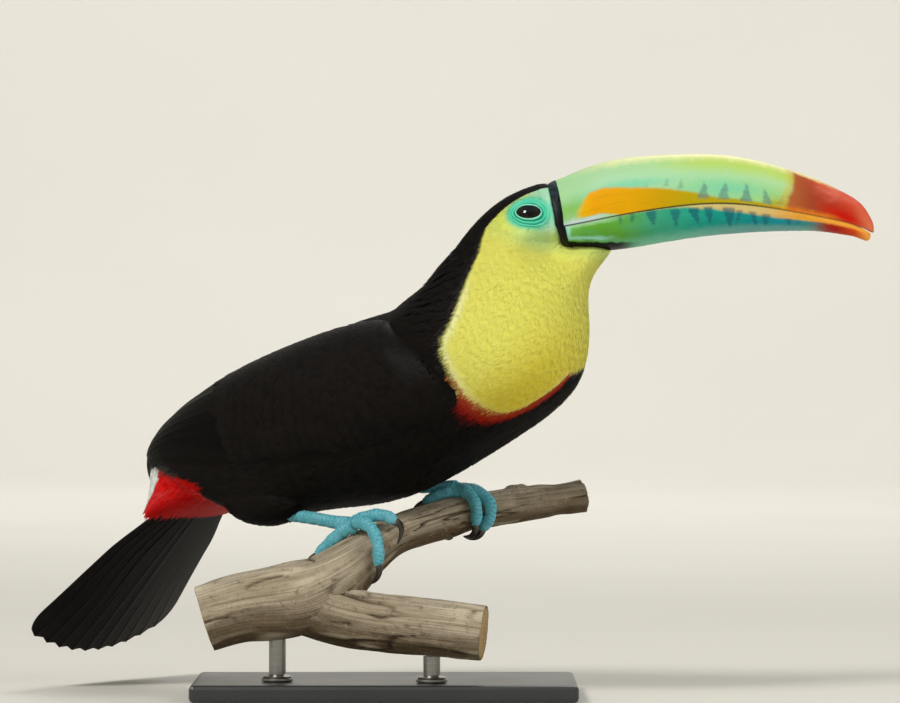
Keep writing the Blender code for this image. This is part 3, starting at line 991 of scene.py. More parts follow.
@dataclass
class Markings:
    """Which colour the plumage has at each place of the body, for skin and feathers alike."""

    body: BodyForm
    eyes: Sequence[EyePlace]
    wings: Sequence[WingForm]
    bib_foot: float = 6.84
    bib_turn: float = 59.0
    corner: float = 5.0
    band_width: float = 7.6
    rump_half: float = 79.0
    bill_floor: float = 208.3
    BAND_ANGLES: ClassVar[tuple] = (184, 192, 206, 222, 240, 254, 261)
    BAND_SHARES: ClassVar[tuple] = (0.0, 0.6, 0.95, 1.0, 0.72, 0.2, 0.0)

    def inside_bill(self, points: Array) -> Array:
        """Give the rounded distance inside the bill's room: in front of its base and above its keel."""
        return -np.logaddexp(-self.body.ahead(points), self.bill_floor - points[..., 2])

    def bare(self, points: Array) -> Array:
        """Give 0 at the nearer eye and 1 at the rim of the bare skin round it."""
        return np.min([one.bare(points) for one in self.eyes], axis=0)

    def lore(self, points: Array) -> Array:
        """Give the distance ahead of the eyes."""
        return np.max([one.local(points)[0] for one in self.eyes], axis=0)

    def rear_edge(self, flank: Array) -> Array:
        """Give the place along the body where the coloured tail coverts begin."""
        return 1.35 + 0.85 * bell(flank, 116, 20) - 0.35 * step(flank, 140, 175)

    def bib_edge(self, place: Array, angle: Array) -> Array:
        """Measure how far inside the bib's border a place is, in millimetres.

        The bib has a side border on each flank and a foot across the breast, with rounded corners
        between them. On the head it is even about the throat; down the neck it turns with the
        breast towards the bird's right.

        Args:
            place: Place along the body.
            angle: Angle round it in degrees.

        Returns:
            The distance inside the border.
        """
        around, near = angle % 360, self.body.strip(place)
        twist = self.bib_turn * (1 - step(place, 8.1, 8.8))
        foot = self.bib_foot + np.minimum(0.2 * ((around - 231.0) / 28.0) ** 2, 0.5)
        side = np.minimum(around - near - 2 * twist, 360 - near - around) * 0.62
        side = side - 2.0 * bell(place, 7.6, 0.8)
        short = (np.minimum(edge, self.corner) - self.corner for edge in (side, (place - foot) * 21.0))
        return self.corner - np.hypot(*short)

    def masks(self, place: Array, angle: Array, points: Array, jitter: Array | float = 0.0) -> Marks:
        """Give the share of each colour from 0 to 1.

        Args:
            place: Place along the body.
            angle: Angle round it in degrees.
            points: The same places in space.
            jitter: Distance in millimetres that shifts each border, so that it looks feathered.

        Returns:
            Masks by name.
        """
        flank, around = np.abs((angle + 180) % 360 - 180), angle % 360
        inside = self.bib_edge(place, angle) + jitter
        open_ground = 1.0 - np.max([wing.covers(place, angle, 1.0) for wing in self.wings], axis=0)
        yellow = step(inside, -0.6, 0.6) * open_ground
        width = self.band_width * np.interp(around, self.BAND_ANGLES, self.BAND_SHARES)
        band = (1 - step(-inside / np.maximum(width, 0.3), 0.2, 1.15)) * step(width, 0.3, 1.6)
        band = band * (1 - yellow) * open_ground * step(place, 4.0, 5.0)
        rear = step(self.rear_edge(flank) - place + jitter * 0.04, -0.03, 0.03) * open_ground
        under = step(flank, self.rump_half - 2, self.rump_half + 2)
        eye, ahead = self.bare(points), self.lore(points)
        up = points[..., 2] - self.eyes[0].origin[2]
        lore = step(ahead + 0.45 * np.maximum(up, 0), -1.0, 9.0) * step(up, -13.0, -5.0)
        of_yellow = {
            # rim: a painted rim highlight, a pale band just inside the bib's border on the breast.
            "rim": bell(inside, 1.0, 1.7) * step(9.6 - place, 0.0, 1.2),
            "lore": lore * step(place, 10.8, 11.6),
            "face": step(place, 10.4, 11.6),
            "cheek": bell(ahead, -11.0, 7.0) * bell(up, 0.0, 8.0),
            "foot": step(9.8 - place, 0.0, 2.4) * step(around, 256, 215),
            "halo": (1 - step(eye, 0.92, 1.35)) * (1 - 0.5 * step(ahead, 5, 10)),
            # green: the face's pale green below and ahead of the eye, placed and strengthened so that it
            # also paints light into the shade of the throat's hollow there.
            "green": bell(ahead, 4.0, 10.0) * bell(up, -11.5, 6.5) * step(place, 10.0, 11.0),
        }
        plain = {"yellow": yellow, "red": np.maximum(band, rear * under), "white": rear * (1 - under),
                 "band": band, "eye": eye}
        return plain | {key: share * yellow for key, share in of_yellow.items()}


# ---------------------------------------------------------------- skin

@dataclass
class Coat:
    """How deep the plumage is, so that the skin lies inside the solids by as much."""

    markings: Markings
    trunk: float = 4.2
    neck: float = 2.2
    shoulder: float = 2.8
    face: float = 0.9
    rear: float = 3.0
    bib: float = 1.25

    def depth(self, place: Array, angle: Array, points: Array) -> Array:
        """Give the coat's depth; bare skin has none.

        Args:
            place: Place along the body.
            angle: Angle round it in degrees.
            points: The same places in space.

        Returns:
            Depths in millimetres.
        """
        depth = np.interp(place, [0, 2, 6, 8.5, 11, 12.3],
                          [self.rear, self.trunk, self.trunk, self.shoulder, self.neck, self.face])
        inside = self.markings.bib_edge(place, angle)
        depth = depth + (self.bib - depth) * step(inside, -1.0, 3.0) * (depth > self.bib)
        depth = depth * step(self.markings.bare(points), 0.92, 1.35)
        return depth * (1 - 0.75 * step(self.markings.lore(points), 4, 11) * step(place, 11.3, 12.0))


@dataclass
class Skin:
    """One skin over trunk, neck, head, folded wings and thighs, with bare rings round the eyes.

    The eyelids' openings and the rings' outer rims are ovals, given by half their width and half
    their height.
    """

    markings: Markings
    coat: Coat
    stations: int = 262
    sides: int = 160
    lid: tuple[float, float] = (5.65, 3.2)
    lid_reach: tuple[float, float] = (10.0, 8.2)
    rings: int = 46
    spokes: int = 128
    core: Colour = (92.0, -34.0, 213.5)

    def __post_init__(self) -> None:
        """Take over the body's form, which the markings have."""
        self.body = self.markings.body

    def trunk(self) -> Shape:
        """Build the closed skin of the body: the form less the coat's depth, plus the wings.

        Behind the plane where the bill begins it follows the form; in front of it, inside the
        bill, it draws together to close.

        Returns:
            The closed shape with the skin's marks.
        """
        a = np.linspace(0.0, 13.0, self.stations)[:, None]
        b = (np.arange(self.sides) * 360 / self.sides - 180)[None, :]
        a, b = np.broadcast_arrays(a, b)
        base, normal = self.body.point(a, b), self.body.frame(a, b)[2]
        reach = [one.local(base) for one in self.markings.eyes]
        socket = np.min([np.hypot(one[0] / 7.2, one[1] / 4.8) for one in reach], axis=0)
        depth = self.coat.depth(a, b, base)
        depth = depth + 3.2 * (1 - step(socket, 0.75, 1.15)) + 0.5 * (1 - step(socket, 1.1, 1.9))
        height = np.max([wing.height(a, b) for wing in self.markings.wings], axis=0)
        rings = base + normal * (height - depth)[..., None]
        inside = step(self.markings.inside_bill(rings), -0.4, 1.6)[..., None]
        rings = rings + (np.array(self.core) - rings) * 0.72 * inside
        made = tube(rings)
        for key, values in self.markings.masks(a, b, base).items():
            made.marks[key] = np.append(values, values[[0, -1], 0])
        made.marks["bare"] = 1 - step(made.marks["eye"], 0.95, 1.3)
        made.marks["crease"] = made.marks["leg"] = np.zeros(len(made.points))
        made.charts["OFBake"] = chart_of(rings, a * 0.07, (b + 180) / 360 * 0.9) + 0.02
        return made

    def find(self, target: tuple[Array, Array], eye: EyePlace) -> tuple[Array, Array]:
        """Find the places of the form straight under points of the eye's own plane.

        Newton's steps on the two distances in that plane, from the eye's own place.

        Args:
            target: Distances ahead and up from the eye.
            eye: The eye.

        Returns:
            Places along the body and angles round it.
        """
        a = np.full(target[0].shape, eye.place)
        b = np.full(target[0].shape, eye.side * eye.angle)
        for _ in range(12):
            x, y, _ = eye.local(self.body.point(a, b))
            first, second, _ = self.body.frame(a, b)
            xa, xb, ya, yb = first @ eye.ahead, second @ eye.ahead, first @ eye.up, second @ eye.up
            dx, dy = target[0] - x, target[1] - y
            scale = xa * yb - xb * ya
            a = a + np.clip((dx * yb - dy * xb) / scale, -0.3, 0.3)
            b = b + np.clip((dy * xa - dx * ya) / scale, -12, 12)
        return a, b

    def eye_ring(self, eye: EyePlace) -> Shape:
        """Build the lids and the bare ring round an eye as a fine closed shell.

        On rings from the lids' margin outwards, the height goes from the eyeball's surface to the
        face, with a rolled margin, two folds that ring the eye and a lower lid fold.

        Args:
            eye: The eye.

        Returns:
            The closed shape with the skin's marks.
        """
        share = np.linspace(0, 1, self.rings)[:, None] ** 1.15
        turn = circle(self.spokes)[None, :]
        wide, tall = (low + (high - low) * share for low, high in zip(self.lid, self.lid_reach))
        x = wide * np.cos(turn) + 0.6 * share - 0.15
        y = tall * np.sin(turn) + (0.95 * np.cos(turn) ** 2 - 0.75) * (1 - share)
        a, b = self.find((x, y), eye)
        face, normal = self.body.point(a, b), self.body.frame(a, b)[2]
        out = share * (self.lid_reach[1] - self.lid[1])
        level = eye.local(face)[2]
        ball = np.sqrt(np.maximum((eye.radius + 0.25) ** 2 - x ** 2 - y ** 2, 0.1))
        height = (ball - (eye.radius - eye.bulge) - level) * (1 - step(out, 0.0, 3.4))
        lower = step(-np.sin(turn), -0.2, 0.8)
        wander = Grain(5)(3.0 * np.cos(turn) + 4, 3.0 * np.sin(turn) + 4) * 0.25
        folds = 0.42 * bell(out, 0.45, 0.38) - 0.34 * bell(out, 1.15 + wander, 0.30)
        folds = folds + 0.34 * bell(out, 1.95 + wander, 0.7)
        folds = folds - (0.12 + 0.38 * lower) * bell(out, 2.95 + wander, 0.32)
        folds = folds + (0.1 + 0.28 * lower) * bell(out, 3.7 + wander, 0.6)
        pits = Grain(9)
        cobble = pits(a * 26, b * 1.5) * 0.05 + pits(a * 55, b * 3.1) * 0.035
        height = height + folds + cobble * step(out, 0.9, 1.6)
        drop = 1.3 * step(share, 0.80, 1.0)
        outer, inner = (face + normal * (height - drop + off)[..., None] for off in (0.12, -0.55))
        inner[0] = outer[0] - eye.outward * 0.5 + (outer[0] - outer[0].mean(0)) * 0.03
        made = shell(outer, inner, wrap=True)
        flat_a, flat_b = np.tile(a.ravel(), 2), np.tile(b.ravel(), 2)
        made.marks = self.markings.masks(flat_a, flat_b, np.tile(face.reshape(-1, 3), (2, 1)))
        made.marks["bare"] = np.ones(len(made.points))
        # The crease mark is painted light and shade. It is positive in the grooves between the folds, most
        # along the lower lid's fold where shadow lies, for painted shade. It is negative on the rolled lid
        # margin, for a painted highlight.
        crease = bell(out, 1.15 + wander, 0.34) + (0.25 + 0.6 * lower) * bell(out, 2.95 + wander, 0.36)
        made.marks["crease"] = np.tile((crease - 0.9 * bell(out, 0.40, 0.34)).ravel(), 2)
        made.marks["leg"] = np.zeros(len(made.points))
        made.charts["OFBake"] = np.stack([flat_a * 0.07 + 0.02, (flat_b + 180) / 360 * 0.9 + 0.02], -1)
        return made


class Plumage:
    """Colours of feathers and of the skin under them, from the marks on the mesh."""

    DARK: ClassVar[tuple] = ("070605", "15110F")
    YELLOW: ClassVar[str] = "DEDA5C"
    YELLOW_DEEP: ClassVar[str] = "D2BC06"
    YELLOW_PALE: ClassVar[str] = "E9EBA6"
    RED: ClassVar[str] = "E00604"
    CRIMSON: ClassVar[str] = "B00504"
    RED_DARK: ClassVar[str] = "9A2E08"
    WHITE: ClassVar[str] = "E4EAE4"
    ZONES: ClassVar[tuple] = (
        # The rim zone paints a rim highlight in pale yellow.
        ("rim", 1.0, YELLOW_PALE), ("foot", 0.85, YELLOW_DEEP), ("face", 0.85, "C0D876"),
        # The green zone is pale green face colour that also paints light into the shaded throat hollow.
        ("cheek", 0.8, "DCE446"), ("green", 0.9, "B6E08E"), ("lore", 1.0, "A6DFBC"), ("halo", 1.0, "52CDA6"),
    )

    @classmethod
    def colour(cls, paint: Paint, tone: Value) -> Socket:
        """Lay the coloured parts over the dark plumage.

        Args:
            paint: The material.
            tone: Fine variation around 0.5.

        Returns:
            The colour's socket.
        """
        zones = ((paint.attribute(name) * share, code) for name, share, code in cls.ZONES)
        yellow = paint.layers(cls.YELLOW, *zones, ((tone - 0.5).positive() * 0.3, cls.YELLOW_PALE),
                              ((0.5 - tone).positive() * 0.25, cls.YELLOW_DEEP))
        red = paint.layers(cls.RED, (tone * 0.7, cls.CRIMSON), ("band", cls.RED_DARK))
        dark, light = cls.DARK
        return paint.layers(dark, (tone, light), ("yellow", yellow), ("red", red), ("white", cls.WHITE))


@dataclass(frozen=True)
class SkinFinish:
    """Plumage colours where feathers hide the skin, and bare skin at eyes and legs."""

    name: str = "bird skin"
    ring: tuple = ((0.0, "2C7F78"), (0.44, "2FB896"), (0.70, "45CBA2"), (0.90, "4ECBA4"), (1.0, "56CDA6"))
    leg: tuple[str, str] = ("358F9E", "78C2CC")

    def material(self) -> Material:
        """Make the material: teal folds round the eyes with painted shade in their creases and a painted
        highlight on the lid margin, blue scales with painted shade in their grooves and pale dust on the
        legs.
        """
        paint = Paint(self.name)
        place = paint.place()
        fine, broad = paint.noise(place, 900.0), paint.noise(place, 160.0, 2.0)
        eye, crease, lore = paint.attributes("eye", "crease", "lore")
        # deep paints shade into the creases; raised paints a highlight on the rolled lid margin.
        deep, raised = crease.positive(), (0 - crease).positive()
        ring = paint.layers(
            paint.ramp(eye, dict(self.ring)), (lore * eye.step(0.75, 1.1) * 0.5, "9ADFC0"),
            ((broad - 0.45).positive() * 1.2, "8FE3C6"), (deep * 0.8, "0F5F62"), (raised * 0.9, "A9EDD2"))
        under, over = self.leg
        # deep lays painted shade into the grooves between the leg's scales.
        blue = paint.layers(under, (fine, over), (deep * 0.75, "1B6A80"),
                            (broad.step(0.5, 0.8) * 0.25, "A9C4DC"))
        colour = paint.layers(Plumage.colour(paint, fine * 0.6), ("bare", ring), ("leg", blue))
        relief = paint.cells(place, 1900.0) * 0.7 + fine * 0.5
        return paint.finish(colour, 0.38 + fine * 0.2, relief, 0.05, Specular_IOR_Level=0.2,
                            Subsurface_Weight=0.06, Subsurface_Radius=(0.002, 0.001, 0.0008))


@dataclass(frozen=True)
class VaneFinish:
    """Small feathers: barbs along each side, a lighter tip and a darker root."""

    kind: str
    gloss: float = 0.07
    sheen: float = 0.0

    def material(self) -> Material:
        """Make the material."""
        paint = Paint(f"{self.kind} feather vanes")
        shade, length, across = paint.attributes("shade", "along", "across")
        barbs = (length * 46 + across.size() * -9 + shade * 20).wave()
        colour = Plumage.colour(paint, shade * 0.65 + barbs * 0.2 + length * 0.15)
        return paint.finish(colour, 0.60 - barbs * 0.1, barbs, 0.03, Specular_IOR_Level=self.gloss,
                            Sheen_Weight=self.sheen, Sheen_Roughness=0.45)


@dataclass(frozen=True)
class QuillFinish:
    """Flight and tail feathers: a shaft, slanting barbs and a browner edge."""

    name: str = "quill feathers"

    def material(self) -> Material:
        """Make the material."""
        paint = Paint(self.name)
        shade, length, across = paint.attributes("shade", "along", "across")
        reach = across.size()
        barbs = (length * 520 - reach * 95 + shade * 9).wave()
        shaft = 1 - reach.step(0.03, 0.09)
        colour = paint.layers("060505", (barbs * 0.35 + shade * 0.3, "15110E"),
                              (reach.step(0.80, 1.0) * 0.4, "1C1612"), (shaft * 0.8, "0C0908"))
        return paint.finish(colour, 0.5 - barbs * 0.08, barbs + shaft * 2, 0.06, Specular_IOR_Level=0.05)


# ---------------------------------------------------------------- feathers

@dataclass(frozen=True)
class Tuft:
    """Sizes of one kind of small feather, in millimetres, and its spread in degrees."""

    length: float
    width: float
    thick: float = 0.12
    root_depth: float = 2.0
    tip_lift: float = 0.3
    spread: float = 4.0
    cup: float = 0.12
    sections: int = 4
    taper: float = 0.75
    round: float = 0.3


def shifts(move: Array, first: Array, second: Array) -> tuple[Array, Array]:
    """Turn a move along a surface into steps of its two parameters.

    The move is resolved on the two tangents by solving the two equations of their dot products.

    Args:
        move: The move in space.
        first: Tangent for a unit step of the first parameter.
        second: Tangent for a unit step of the second parameter.

    Returns:
        The two steps.
    """
    e, f, g = (np.sum(one * other, -1) for one, other in ((first, first), (first, second), (second, second)))
    p, q = np.sum(move * first, -1), np.sum(move * second, -1)
    size = np.maximum(e * g - f ** 2, 1e-9)
    return (p * g - q * f) / size, (q * e - p * f) / size


@dataclass
class Field:
    """A patch of feathers: a surface, a range of its parameters and how thickly they stand.

    Each feather is wanted by the ground under the part of it that stays in sight, and may root
    only where the ground under its root allows it.
    """

    surface: Surface
    first: tuple[float, float]
    second: tuple[float, float]
    tuft: Tuft
    count: int
    wanted: Callable[[Array, Array, Array], Array]
    seed: int
    size: Callable[[Array], Array] | None = None
    rooted: Callable[[Array, Array, Array], Array] | None = None
    in_sight: float = 0.65
    SERIES: ClassVar[float] = 1.2207440846057596

    def scale(self, a: Array) -> Array:
        """Give the feathers' size as a share of the tuft's."""
        return np.ones(len(a)) if self.size is None else self.size(a)

    def roots(self) -> tuple[Array, Array, Array]:
        """Spread roots evenly over the wanted ground.

        A two-number low-discrepancy series gives the candidates and a third number keeps each
        one by the ground's area there and by how much it is wanted.

        Returns:
            The two parameters of each root, and a random number for each.
        """
        total = self.count * 6
        shift = np.random.default_rng(self.seed + 7).random(3)
        series = np.stack([(shift[k] + np.arange(total) / self.SERIES ** (k + 1)) % 1.0 for k in range(3)])
        a = self.first[0] + (self.first[1] - self.first[0]) * series[0]
        b = self.second[0] + (self.second[1] - self.second[0]) * series[1]
        first, second, _ = self.surface.frame(a, b)
        area = np.linalg.norm(np.cross(first, second), axis=-1)
        reach = self.tuft.length * self.scale(a) * self.in_sight
        seen = a + self.surface.lie * reach / np.linalg.norm(first, axis=-1)
        weight = area * self.wanted(seen, b, self.surface.point(seen, b))
        if self.rooted is not None:
            weight = weight * self.rooted(a, b, self.surface.point(a, b))
        weight = weight / self.scale(a) ** 2
        keep = series[2] < weight / weight.sum() * self.count
        return a[keep], b[keep], np.random.default_rng(self.seed).random(int(keep.sum()))

    def grow(self, marks: Callable[[Array, Array, Array, Array], Marks]) -> Shape:
        """Build the feathers as thin closed vanes of three-point sections.

        A spine marches backwards over the surface from each root, rising from the skin to just
        above the coat's line. Each section has two rims and a shaft between them, and the
        section's width swells and then draws in to one tip point.

        Args:
            marks: Gives the colour masks from the parameters, the places and a random number.

        Returns:
            All feathers as one shape.
        """
        a0, b0, luck = self.roots()
        tuft, scale = self.tuft, self.scale(a0)
        length = tuft.length * scale * (0.8 + 0.4 * luck)
        lean = np.radians(np.random.default_rng(self.seed + 99).normal(0, tuft.spread, len(a0)))
        a, b = a0, b0
        rows, normals, masks = [], [], []
        for k in range(tuft.sections + 1):
            first, second, normal = self.surface.frame(a, b)
            back = unit(first * self.surface.lie)
            side = np.cross(normal, back)
            ahead = unit(back * np.cos(lean)[:, None] + side * np.sin(lean)[:, None])
            across = np.cross(normal, ahead)
            share = k / tuft.sections
            rise = -tuft.root_depth + (tuft.root_depth + tuft.tip_lift * (0.4 + luck)) * share ** 0.7
            ground = self.surface.point(a, b)
            masks.append(marks(a, b, ground, luck))
            centre = ground + normal * rise[:, None]
            wide = tuft.width / 2 * scale * (0.45 + 1.3 * share - 0.95 * share ** 2) ** tuft.taper
            rim, spine = across * wide[:, None], centre + normal * (tuft.thick + tuft.cup * wide)[:, None]
            rows.append(np.stack([centre - rim, spine, centre + rim], 1))
            normals.append([unit(normal + across * way * tuft.round) for way in (-1, 0, 1)])
            da, db = shifts(ahead * (length / tuft.sections)[:, None], first, second)
            a, b = a + da, b + db
        tip = rows[-1][:, 1:2] - normal[:, None] * tuft.thick * 0.5
        made = self.assemble(np.concatenate([*rows[:-1], tip], 1), a0, b0, luck)
        for key in masks[0]:
            values = np.stack([one[key] for one in masks], 1)
            made.marks[key] = np.concatenate([np.repeat(values[:, :-1], 3, 1), values[:, -1:]], 1).ravel()
        turned = [one for row in normals[:-1] for one in row] + [normals[-1][1]]
        made.normals = np.stack(turned, 1).reshape(-1, 3)
        return made

    def assemble(self, points: Array, a0: Array, b0: Array, luck: Array) -> Shape:
        """Join all feathers' points into one shape with its chart.

        Args:
            points: Points by feather and by place in the feather.
            a0: First parameter of the roots.
            b0: Second parameter of the roots.
            luck: A random number for each feather.

        Returns:
            The shape.
        """
        count, each = points.shape[:2]
        sections, last = self.tuft.sections, each - 1
        quads = np.array([
            [3 * k + i, 3 * k + 3 + i, 3 * k + 3 + (i + 1) % 3, 3 * k + (i + 1) % 3]
            for k in range(sections - 1) for i in range(3)
        ])
        top = last - 3
        ends = np.array([[0, 1, 2], [top, last, top + 1], [top + 1, last, top + 2], [top + 2, last, top]])
        start = (np.arange(count) * each)[:, None, None]
        blocks = outward(points[0], [quads, ends])
        faces = [(one[None] + start).reshape(-1, one.shape[1]) for one in blocks]
        made = Shape(points.reshape(-1, 3), faces)
        run = np.append(np.repeat(np.arange(sections) / sections, 3), 1.0)
        across = np.append(np.tile([-1.0, 0.0, 1.0], sections), 0.0)
        made.marks = {"shade": np.repeat(luck, each), "along": np.tile(run, count),
                      "across": np.tile(across, count)}
        patch = np.stack([run - 0.5, across * 0.5], -1) * 0.003
        made.charts["OFBake"] = (self.surface.home(a0, b0)[:, None] + patch[None]).reshape(-1, 2)
        return made


@dataclass
class Quills:
    """Large feathers laid over a surface: rows of roots and tips with a width and a depth each.

    Each feather follows a straight line of the surface's parameters between its root and its
    tip. Its vane has rounded ends and is bent to the surface; its shaft stands a little above it.
    """

    surface: Surface
    roots: Array
    tips: Array
    widths: Array
    depths: Array
    seed: int
    thick: float = 0.35
    shaft: float = 0.3
    cup: float = 0.5
    blunt: float = 0.22
    sections: int = 30
    columns: int = 9

    def build(self) -> Shape:
        """Build every feather as a closed shell on one grid.

        Returns:
            All feathers as one shape.
        """
        s, q = np.linspace(0, 1, self.sections) ** 0.85, np.linspace(-1, 1, self.columns)
        roots, tips = self.roots[:, None], self.tips[:, None]
        a, b = (roots[..., i] + (tips[..., i] - roots[..., i]) * s for i in (0, 1))
        first, second, normal = self.surface.frame(a, b)
        across = np.cross(normal, unit(np.gradient(self.surface.point(a, b), axis=1)))
        profile = np.sqrt(np.clip(1 - np.clip((s - 1 + self.blunt) / self.blunt, 0, 1) ** 2.2, 0.0004, 1))
        half = self.widths[:, None] / 2 * (profile * (0.55 + 0.45 * step(s, 0, 0.35)))
        move = across[:, :, None] * (half[..., None] * q)[..., None]
        da, db = shifts(move, first[:, :, None], second[:, :, None])
        at, bt = a[..., None] + da, b[..., None] + db
        luck = np.random.default_rng(self.seed).random(len(self.roots))
        sink = self.depths[:, None, None] * (0.35 + 0.65 * step(1 - s, 0, 0.6))[None, :, None]
        sink = sink + self.cup * q[None, None, :] ** 2 * (0.4 + 0.6 * luck[:, None, None])
        sink = sink - self.shaft * np.exp(-(q / 0.12) ** 2)[None, None, :]
        run, side = (grid.ravel() for grid in np.meshgrid(s, q, indexing="ij"))
        patch = np.stack([run - 0.5, side * 0.5], -1) * 0.02
        shapes = []
        for k, root in enumerate(self.roots):
            outer, inner = (self.surface.at_depth(at[k], bt[k], sink[k] + under)
                            for under in (0.0, self.thick))
            made = shell(outer, inner)
            made.marks = {"along": np.tile(run, 2), "across": np.tile(side, 2),
                          "shade": np.full(len(made.points), luck[k])}
            made.charts["OFBake"] = np.tile(self.surface.home(*root) + patch, (2, 1))
            shapes.append(made)
        return shapes[0].join(shapes[1:])


# ---------------------------------------------------------------- bill

@dataclass
class BillForm:
    """The bill's outer surface from its base to its hooked tip, in an upright plane.

    A station gives the ridge, the cutting edge and the keel as points of that plane, and the half
    width. The upper and the lower half are each half an oval over the cutting edge.
    """

    plane: float = -34.0
    stations: dict = field(default_factory=lambda: {
        "base": ((77.5, 240.5), (81.9, 219.5), (84, 209.5), 17.5),
        "cheek": ((91.5, 246.5), (91.5, 221.3), (91.5, 209), 17.5),
        "root": ((110, 251.5), (110, 225.0), (110, 209.5), 16.5),
        "high": ((138, 253.5), (138, 229.3), (138, 214), 14.5),
        "middle": ((166, 252), (166, 229.9), (166, 217), 12),
        "fore": ((195, 244), (194.5, 225.7), (194.5, 218), 9),
        "bend": ((213, 236), (209, 222.9), (208, 217), 6.8),
        "hook": ((222.5, 229.3), (218, 220.6), (217, 215.6), 4.6),
        "tip": ((227.8, 219.5), (226.2, 217.0), (224.9, 213.9), 1.9),
    })
    ridge_keel: float = 1.8
    lower_keel: float = 2.3
    base_x: float = 80.6
    length: float = 146.2
    BAND_START: ClassVar[tuple] = ((-1, -0.2, -0.02, 0.05, 0.3, 1),
                                   (-0.30, -0.26, -0.27, -0.34, -0.24, -0.15))
    BAND_END: ClassVar[tuple] = ((-1, -0.8, -0.6, -0.2, -0.02, 0.03, 0.3, 1),
                                 (0.95, 0.50, 0.32, 0.24, 0.22, 0.15, 0.20, 0.19))

    def __post_init__(self) -> None:
        """Read the table once."""
        self.rows = rows_of(self.stations)

    def band_edges(self, height: Array) -> tuple[Array, Array]:
        """Give where the dark band starts and ends, by height from -1 at the keel to 1 at the ridge."""
        return np.interp(height, *self.BAND_START), np.interp(height, *self.BAND_END)

    def point(self, place: Array, angle: Array, lift: Array | float = 0.0,
              gap: Array | float = 0.0) -> Array:
        """Give points by station and angle; 90 degrees is the ridge and 270 the keel.

        Args:
            place: Station numbers.
            angle: Angles in degrees.
            lift: Height over the surface in millimetres.
            gap: Half the opening between the two halves.

        Returns:
            The points.
        """
        row = smooth(self.rows, place)
        plane = np.full(row.shape[:-1], self.plane)
        ridge, edge, keel = (np.stack([row[..., i], plane, row[..., i + 1]], -1) for i in (0, 2, 4))
        upward = unit(ridge - edge)
        sine, cosine = np.sin(np.radians(angle)), np.cos(np.radians(angle))
        top = sine >= 0
        rise = (np.abs(sine) ** (2 / np.where(top, self.ridge_keel, self.lower_keel)))[..., None]
        edge = edge + upward * (gap * np.where(top, 1, -1))[..., None]
        high = np.asarray(lift)[..., None]
        tall = np.where(top[..., None], ridge + upward * high - edge, keel + unit(keel - edge) * high - edge)
        side = np.sign(cosine) * np.abs(cosine) * (row[..., 6] + lift)
        return edge + tall * rise + np.stack([0 * side, side, 0 * side], -1)

    def shares(self, points: Array, place: Array) -> tuple[Array, Array, Array]:
        """Measure points of the bill.

        Args:
            points: The points.
            place: Their station numbers.

        Returns:
            The share of the length, the share of the height above or below the cutting edge, and
            the distance from that edge.
        """
        row = smooth(self.rows, place)
        rise = points[..., 2] - row[..., 3]
        tall = np.where(rise >= 0, row[..., 1] - row[..., 3], row[..., 3] - row[..., 5])
        share = (points[..., 0] - self.base_x) / self.length
        return share, rise / np.maximum(tall, 0.5), np.abs(rise)


@dataclass(frozen=True)
class Wedge:
    """One dark mark: a narrow wedge that stands on the cutting edge's side of the bill.

    Its place is a share of the length, its foot and tip are shares of the height, and its width
    and slant are in millimetres.
    """

    place: float
    foot: float
    tip: float
    width: float
    slant: float
    strength: float


UPPER_WEDGES = (
    Wedge(0.278, 0.44, 0.54, 1.6, 0.3, 0.35), Wedge(0.340, 0.40, 0.54, 2.6, 0.5, 0.55),
    Wedge(0.385, 0.34, 0.52, 3.0, 0.6, 0.6), Wedge(0.457, 0.12, 0.45, 5.6, 0.4, 0.95),
    Wedge(0.521, 0.10, 0.43, 5.4, 1.0, 0.9), Wedge(0.593, 0.08, 0.45, 5.4, 0.3, 0.95),
    Wedge(0.660, 0.08, 0.40, 4.6, -1.0, 0.9), Wedge(0.706, 0.10, 0.34, 3.0, 0.8, 0.5),
)
LOWER_WEDGES = (
    Wedge(0.193, 0.02, 0.28, 1.8, 0.2, 0.8), Wedge(0.231, 0.02, 0.30, 1.9, 0.1, 0.85),
    Wedge(0.292, 0.04, 0.50, 4.6, 1.6, 0.95), Wedge(0.367, 0.10, 0.62, 4.6, 0.8, 0.9),
    Wedge(0.424, 0.12, 0.66, 4.4, 3.0, 1.0), Wedge(0.473, 0.12, 0.62, 3.9, 0.9, 0.95),
    Wedge(0.538, 0.16, 0.86, 5.4, 0.9, 1.0), Wedge(0.574, 0.22, 0.72, 2.8, -1.6, 0.85),
    Wedge(0.612, 0.26, 0.78, 3.4, 2.0, 0.9), Wedge(0.658, 0.30, 0.78, 4.6, -0.6, 0.9),
    Wedge(0.727, 0.42, 0.74, 3.2, 0.6, 0.75), Wedge(0.757, 0.46, 0.70, 2.0, 0.4, 0.45),
)


